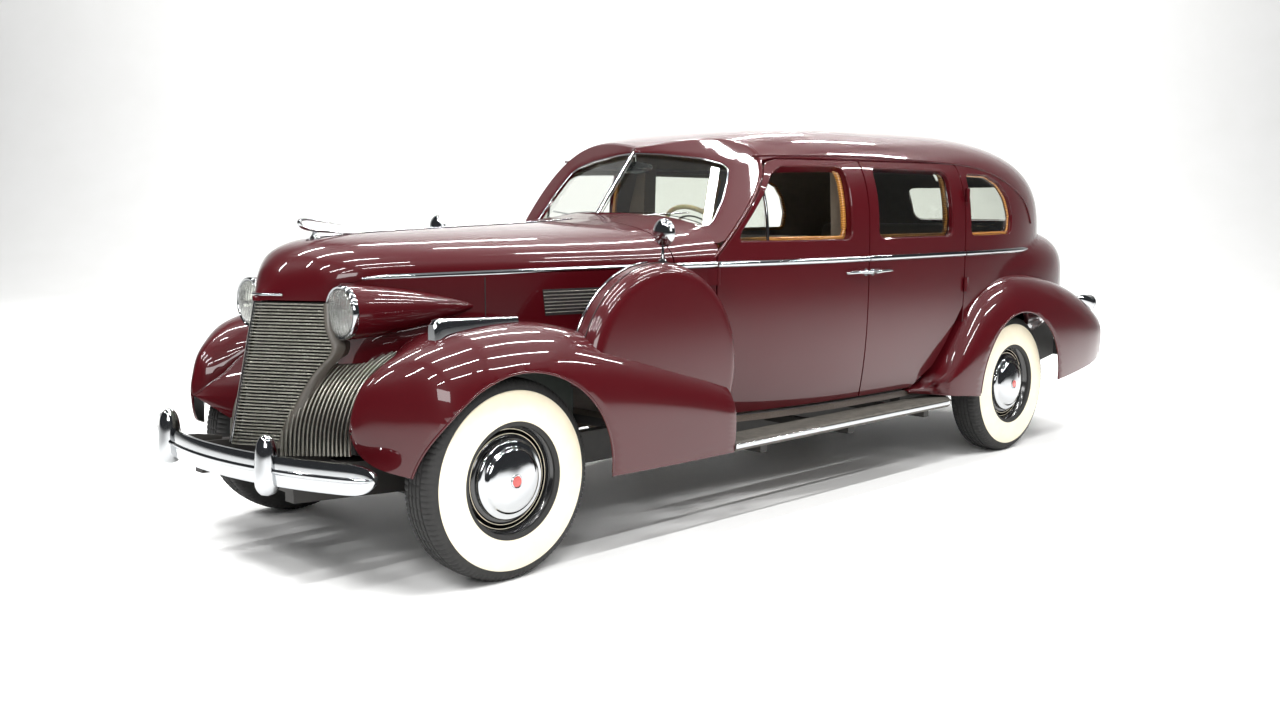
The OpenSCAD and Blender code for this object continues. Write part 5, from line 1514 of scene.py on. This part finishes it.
def upholster(obj, seams, puff=4.0, cap=16.0):
    """Fills a pad: voxel remesh, cloth under pressure held at its seams, one subdivision."""
    mod = obj.modifiers.new("even mesh", "REMESH")
    mod.mode, mod.voxel_size = "VOXEL", 22 * MM
    graph = bpy.context.evaluated_depsgraph_get()
    mesh = bpy.data.meshes.new_from_object(obj.evaluated_get(graph), depsgraph=graph)
    obj.modifiers.clear()
    finish = list(obj.data.materials)
    obj.data = mesh
    mesh.materials.clear()
    for m in finish:
        mesh.materials.append(m)
    rest = np.array([v.co[:] for v in mesh.vertices])
    held = obj.vertex_groups.new(name="seams")
    held.add([int(i) for i in np.nonzero(seams(rest / MM + (0, MID_STATION, 0)))[0]], 1.0, "REPLACE")
    cloth = obj.modifiers.new("filling", "CLOTH")
    cloth.settings.vertex_group_mass = "seams"
    cloth.settings.use_pressure = True
    cloth.settings.uniform_pressure_force = puff
    cloth.settings.effector_weights.gravity = 0.0
    cloth.settings.tension_stiffness = 20
    cloth.point_cache.frame_start, cloth.point_cache.frame_end = 1, 20
    scene = bpy.context.scene
    for f in range(1, 21):
        scene.frame_set(f)
    graph = bpy.context.evaluated_depsgraph_get()
    puffed = bpy.data.meshes.new_from_object(obj.evaluated_get(graph), depsgraph=graph)
    obj.modifiers.clear()
    moved = np.array([v.co[:] for v in puffed.vertices]) - rest
    size = np.linalg.norm(moved, axis=1, keepdims=True)
    moved *= np.minimum(1, cap * MM / np.maximum(size, 1e-9))
    puffed.vertices.foreach_set("co", (rest + moved).ravel())
    obj.data = puffed
    obj.vertex_groups.clear()
    scene.frame_set(1)
    sub = obj.modifiers.new("round", "SUBSURF")
    sub.levels = sub.render_levels = 1
    graph = bpy.context.evaluated_depsgraph_get()
    done = bpy.data.meshes.new_from_object(obj.evaluated_get(graph), depsgraph=graph)
    obj.modifiers.clear()
    obj.data = done
    done.shade_smooth()
    return obj


class SEDAN_OT_seats(bpy.types.Operator):
    """Front and rear bench seats, stuffed and pleated"""

    bl_idname = "sedan.seats"
    bl_label = "Seats"

    def execute(self, context):
        half = 604.0
        pitch = 2 * half / 8

        def seams(p):
            off = np.abs((p[:, 0] + half) % pitch - pitch / 2)
            return (off > pitch / 2 - 12) | (np.abs(p[:, 0]) > half - 14)

        for which, s, z, depth in (("front", 1720.0, 600.0, 500.0), ("rear", 3196.0, 642.0, 520.0)):
            parts = (("cushion", pad(bench_profile(depth - 4, 186, 0), half, (0, s + 2, z + 2))),
                     ("back", pad(bench_profile(156, 556, 90) + (depth - 38, 62), half, (0, s, z))))
            for word, stock in parts:
                obj = stock.build(f"{which}_seat_{word}", [FINISH["cloth"]], "car_body",
                                  (f"{which}_seat",) if word == "cushion" else ())
                upholster(obj, seams)
            if which == "front":
                base = [[(x, s + 40, 436.0), (x, s + 470, 436.0)] for x in (-560.0, 560.0)]
                Stock().plate(base, -168).build("front_seat_riser", [FINISH["carpet"]])
                a = np.linspace(-1, 1, 24)
                rail = np.stack([560 * a, s + depth + 120 + 26 * (1 - a ** 4), z + 470 - 40 * np.abs(a) ** 5], -1)
                moulding("front_seat_robe_rail", [rail], 16, 16, FINISH["cloth"], corner=7)
        return {"FINISHED"}


class SEDAN_OT_cabin(bpy.types.Operator):
    """Dashboard, steering wheel, inside mirror, door caps and window cranks"""

    bl_idname = "sedan.cabin"
    bl_label = "Cabin"

    def execute(self, context):
        wood, chrome = FINISH["wood"], FINISH["chrome"]
        profile = rounded([(1250, 1010), (1350, 980), (1372, 1150), (1320, 1205), (1250, 1205)], [4, 18, 40, 60, 4], 14)
        x = np.linspace(-580, 580, 31)
        rows = np.stack([np.column_stack([np.full(len(profile), v), profile]) for v in x])
        Stock().loft(rows).build("dashboard_board", [wood], replaces=("dashboard",))
        tilt = Matrix.Rotation(math.radians(90 + 33), 3, "X")
        hub = np.array([360.0, 1550.0, 1205.0])
        column = Stock().turned([(0, 10), (23, 10), (23, 500), (0, 500)], 32, "z").turn(tilt).move(hub)
        column.build("steering_column", [FINISH["black"]])
        dials = Stock()
        for cx, r in ((360, 66), (150, 50), (-20, 50)):
            at = (cx, 1363, 1085)
            dials.turned([(r, -6), (r + 6, 4), (r + 4, 9), (r, 8), (r - 3, 4)], 48, "y", at)
            dials.turned([(r - 3, 4), (0, 5)], 48, "y", at, 1)
            needle = [[(cx + 2 * k, 1370, 1085), (cx + k, 1370, 1085 + r * 0.7)] for k in (-1, 1)]
            dials.plate(needle, 1.5, 2)
        dials.build("instruments", [chrome, FINISH["dial"], FINISH["red"]])
        line = np.stack([np.linspace(-572, 572, 30), np.full(30, 1356.0), np.full(30, 1016.0)], -1)
        moulding("dashboard_strip", [line], 8, 10, chrome)
        # Steering wheel
        a = np.linspace(0, 2 * math.pi, 97)[:-1]
        tube = []
        for v in np.linspace(0, 2 * math.pi, 17)[:-1]:
            r = 209 + 11 * np.cos(v)
            tube.append(np.stack([r * np.cos(a), r * np.sin(a), 11 * np.sin(v) + 0 * a], -1))
        wheel = Stock().grid(np.stack(tube), close_u=True, close_v=True)
        wheel.turned([(0, -26), (20, -25), (32, -18), (35, -4), (34, 7), (0, 8)], 40, "z", finish=1)
        c = np.radians(np.arange(0, 360, 30))
        for k in (30, 150, 270):
            d = np.array([math.cos(math.radians(k)), math.sin(math.radians(k)), 0])
            e = np.array([-d[1], d[0], 0])
            rings = [d * v + np.outer(np.cos(c) * (15 - 7 * (v / 206)), e) + np.outer(np.sin(c) * 6, (0, 0, 1))
                     for v in np.linspace(28, 206, 12)]
            wheel.grid(np.stack(rings), close_v=True)
        wheel.turned([(150, -4), (155, -8), (160, -4), (155, 0), (150, -4)], 72, "z", finish=1)
        wheel.turn(tilt).move(hub)
        wheel.build("steering_wheel_rim", [FINISH["ivory"], chrome], "steering_wheel", ("steering_wheel",))
        # Inside mirror, door caps and window cranks
        mirror = Stock().turned([(0, 6), (14, 5), (16, 0), (14, -6), (0, -8)], 24, "y", (0, 0, 0))
        mirror.points = [p * (7.0, 1.6, 1.9) for p in mirror.points]
        mirror.move((0, 1478, 1566)).build("inside_mirror", [chrome])
        moulding("inside_mirror_stem", [np.array([(0, 1480, 1570), (0, 1470, 1632)])], 8, 8, chrome)
        for word, k in SIDES:
            for which, s0, s1 in (("front", 1330, 2180), ("rear", 2270, 2900)):
                s = np.linspace(s0, s1, 20)
                z = np.full(20, 1200.0)
                rail = (side(s, z) - (64, 0, 0)) * (k, 1, 1)
                moulding(f"{which}_door_cap_{word}", [rail], 14, 30, wood, body=f"{which}_door_{word}")
                knob = side(np.array([(s0 + s1) / 2]), np.array([1050.0]))[0] - (58, 0, 0)
                crank = Stock().turned([(0, -26), (10, -25), (12, -16), (12, 0)], 20, "x", knob)
                crank.to_side(k).build(f"{which}_window_crank_{word}", [chrome], f"{which}_door_{word}")
        loop = inset(QUARTER_WINDOW, 6)
        moulding("quarter_window_wood", both([sunk(side, 30)(loop[:, 0], loop[:, 1])]), 18, 22, wood, closed=True)
        return {"FINISHED"}


class SEDAN_OT_chassis(bpy.types.Operator):
    """Finishes of the parts that keep their construction shape"""

    bl_idname = "sedan.chassis"
    bl_label = "Chassis finishes"

    def execute(self, context):
        looks = {"frame": "chassis", "floor": "carpet", "front_suspension": "chassis", "rear_axle": "chassis",
                 "exhaust": "steel", "fuel_tank": "chassis", "engine": "iron", "knuckle_left": "chassis",
                 "knuckle_right": "chassis", "hinges": "paint", "windshield": "glass", "pillars": "lining"}
        for name, look in looks.items():
            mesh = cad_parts[name].data
            mesh.materials.clear()
            mesh.materials.append(FINISH[look])
        return {"FINISHED"}


def strip(name, s, x, z, tall, proud, finish, body, k):
    """Bright strip on the body side, as tall and as proud as its two lists say."""
    section = np.array([(-0.5, 0), (-0.42, 0.55), (-0.2, 0.92), (0, 1), (0.2, 0.92), (0.42, 0.55), (0.5, 0)])
    rows = np.stack([np.stack([x + proud * b, s, z + tall * a], -1) for a, b in section])
    return Stock().plate(rows, 1.2).to_side(k).build(name, [finish], body)


class SEDAN_OT_trim(bpy.types.Operator):
    """Belt strips, drip rails and wipers"""

    bl_idname = "sedan.trim"
    bl_label = "Trim"

    def execute(self, context):
        high, chrome = context.scene.sedan_sizes.strip, FINISH["chrome"]

        def hood_side(s, z):
            b, w = smooth(HOOD_SHOULDER, s), smooth(PLAN, s)
            h = smooth(HOOD_CROWN, s) - b
            return w * (1 - np.clip((z - b) / h, 0, 1) ** 2.3) ** (1 / 2.3)

        runs = (("hood_side", "car_body", -290, COWL_ST - 3), ("cowl", "car_body", 1061, DOOR_FRONT - 3),
                ("front_door", "front_door_", DOOR_FRONT + 6, DOOR_SPLIT - 4),
                ("rear_door", "rear_door_", DOOR_SPLIT + 4, DOOR_REAR - 3),
                ("quarter", "car_body", DOOR_REAR + 7, 3930))
        for word, k in SIDES:
            for name, body, s0, s1 in runs:
                s = np.linspace(s0, s1, max(12, int((s1 - s0) / 22)))
                z = np.interp(s, [-290, 0, 600, DOOR_FRONT], [1119, 1122, 1128, 1131])
                x = hood_side(s, z) + 1.5 if s1 <= DOOR_FRONT else cabin_x(s, z)
                taper = np.ones(len(s))
                if name == "hood_side":
                    taper = np.clip((s - s0) / 90, 0.03, 1) ** 0.6
                if name == "quarter":
                    taper = np.clip((s1 - s) / 140, 0.03, 1) ** 0.7
                strip(f"{name}_belt_strip_{word}", s, x, z, high * taper, 8 * taper + 1, chrome,
                      body + (word if body.endswith("_") else ""), k)
        # Drip rail over the doors
        p = np.array([(1585, 1612), (1640, 1616), (2258, 1622), (3133, 1600), (3400, 1566), (3555, 1528),
                      (3720, 1468), (3845, 1401), (3905, 1340), (3948, 1279)], float)
        s = np.linspace(p[0, 0], p[-1, 0], 90)
        z = smooth(p, s)
        rail = np.stack([cabin_x(s, z) + 2, s, z], -1)
        moulding("drip_rails", both([rail]), 12, 9, FINISH["paint"])
        # Wipers at the base of the windshield
        t = np.linspace(0, 1, 10)
        x, z = 190 + 280 * t, 1338 + 18 * t
        wiper = np.stack([x, pane_station(x, z) - 10 + 6 * t, z], -1)
        moulding("wiper_arms", both([wiper]), 6, 6, chrome)
        return {"FINISHED"}


class SEDAN_OT_studio(bpy.types.Operator):
    """Pale floor and backdrop, overhead tubes, soft light and camera"""

    bl_idname = "sedan.studio"
    bl_label = "Studio"

    def execute(self, context):
        scene = context.scene
        scene.view_settings.view_transform = "Standard"
        mat, t, b = shader("pale_studio_floor", "#FAFAF9", 0.6)
        mottle(t, b, "#FAFAF9", "#F5F5F3", 600, 3.0)
        look = Vector((math.sin(CAMERA_YAW), math.cos(CAMERA_YAW), 0.0))
        across = Vector((look.y, -look.x, 0.0))
        bend = [(12 + 6 * math.sin(a), 6 - 6 * math.cos(a)) for a in np.linspace(0, math.pi / 2, 20)]
        line = [(-14.0, 0.0), (4.0, 0.0)] + bend + [(18.0, 16.0)]
        pts = [tuple(look * d + across * w + Vector((0, 0, h))) for d, h in line for w in (-30, 30)]
        mesh = bpy.data.meshes.new("studio_sweep")
        mesh.from_pydata(pts, [], [(2 * i, 2 * i + 1, 2 * i + 3, 2 * i + 2) for i in range(len(line) - 1)])
        mesh.materials.append(mat)
        mesh.shade_smooth()
        sweep = bpy.data.objects.new("studio_sweep", mesh)
        scene.collection.objects.link(sweep)
        world = bpy.data.worlds.new("dim_hall")
        scene.world = world
        world.use_nodes = True
        world.node_tree.nodes["Background"].inputs["Color"].default_value = colour("#B9BCC2")
        world.node_tree.nodes["Background"].inputs["Strength"].default_value = 0.12

        def area(name, at, to, size, size_y, power):
            light = bpy.data.lights.new(name, "AREA")
            light.shape, light.size, light.size_y, light.energy = "RECTANGLE", size, size_y, power
            obj = bpy.data.objects.new(name, light)
            obj.location = at
            obj.rotation_euler = (Vector(to) - Vector(at)).to_track_quat("-Z", "Y").to_euler()
            scene.collection.objects.link(obj)

        for i, x in enumerate((-3.2, -1.1, 1.1, 3.2, 5.4)):
            for j, y in enumerate((-6.0, -2.4, 1.2, 4.8)):
                area(f"ceiling_tube_{i}_{j}", (x, y, 5.2), (x, y, 0), 0.07, 2.2, 105)
        area("overhead_softbox", (0.5, 0.0, 7.0), (0, 0, 0), 9.0, 12.0, 120)
        area("camera_side_fill", (7.5, -7.0, 4.0), (0, 0, 0.8), 4.0, 2.0, 260)
        high, low = look * 7 + Vector((0, 0, 9)), look * 17 + Vector((0, 0, 3))
        area("backdrop_wash", high, low, 20.0, 3.0, 2200)
        camera = bpy.data.cameras.new("photo_camera")
        camera.lens, camera.sensor_width = 35.49, 36.0
        obj = bpy.data.objects.new("photo_camera", camera)
        level = math.cos(CAMERA_PITCH)
        way = Vector((math.sin(CAMERA_YAW) * level, math.cos(CAMERA_YAW) * level, math.sin(CAMERA_PITCH)))
        obj.location = (4.4347, -4.9343, 1.4120)
        obj.rotation_euler = way.to_track_quat("-Z", "Y").to_euler()
        scene.collection.objects.link(obj)
        scene.camera = obj
        return {"FINISHED"}


class SEDAN_PT_panel(bpy.types.Panel):
    """Colours and sizes of the sedan, and the steps that build it"""

    bl_idname = "SEDAN_PT_panel"
    bl_label = "Sedan"
    bl_space_type = "VIEW_3D"
    bl_region_type = "UI"
    bl_category = "Sedan"

    def draw(self, context):
        for group in (context.scene.sedan_look, context.scene.sedan_sizes):
            for key in group.bl_rna.properties.keys():
                if key not in {"rna_type", "name"}:
                    self.layout.prop(group, key)
        for step in STEPS:
            self.layout.operator(step.bl_idname)


STEPS = (SEDAN_OT_body_shell, SEDAN_OT_cowl, SEDAN_OT_doors, SEDAN_OT_hood, SEDAN_OT_trunk_lid, SEDAN_OT_fenders,
         SEDAN_OT_grilles, SEDAN_OT_lamps, SEDAN_OT_bumpers, SEDAN_OT_running_boards, SEDAN_OT_wheels, SEDAN_OT_seats,
         SEDAN_OT_cabin, SEDAN_OT_chassis, SEDAN_OT_trim, SEDAN_OT_studio)
CLASSES = (SedanLook, SedanSizes) + STEPS + (SEDAN_PT_panel,)


def register():
    for c in CLASSES:
        bpy.utils.register_class(c)
    bpy.types.Scene.sedan_look = bpy.props.PointerProperty(type=SedanLook)
    bpy.types.Scene.sedan_sizes = bpy.props.PointerProperty(type=SedanSizes)


def unregister():
    del bpy.types.Scene.sedan_sizes
    del bpy.types.Scene.sedan_look
    for c in reversed(CLASSES):
        bpy.utils.unregister_class(c)


def main():
    register()
    FINISH.update(make_finishes(bpy.context.scene.sedan_look))
    for step in STEPS:
        space, name = step.bl_idname.split(".")
        getattr(getattr(bpy.ops, space), name)()


if __name__ == "__main__":
    main()
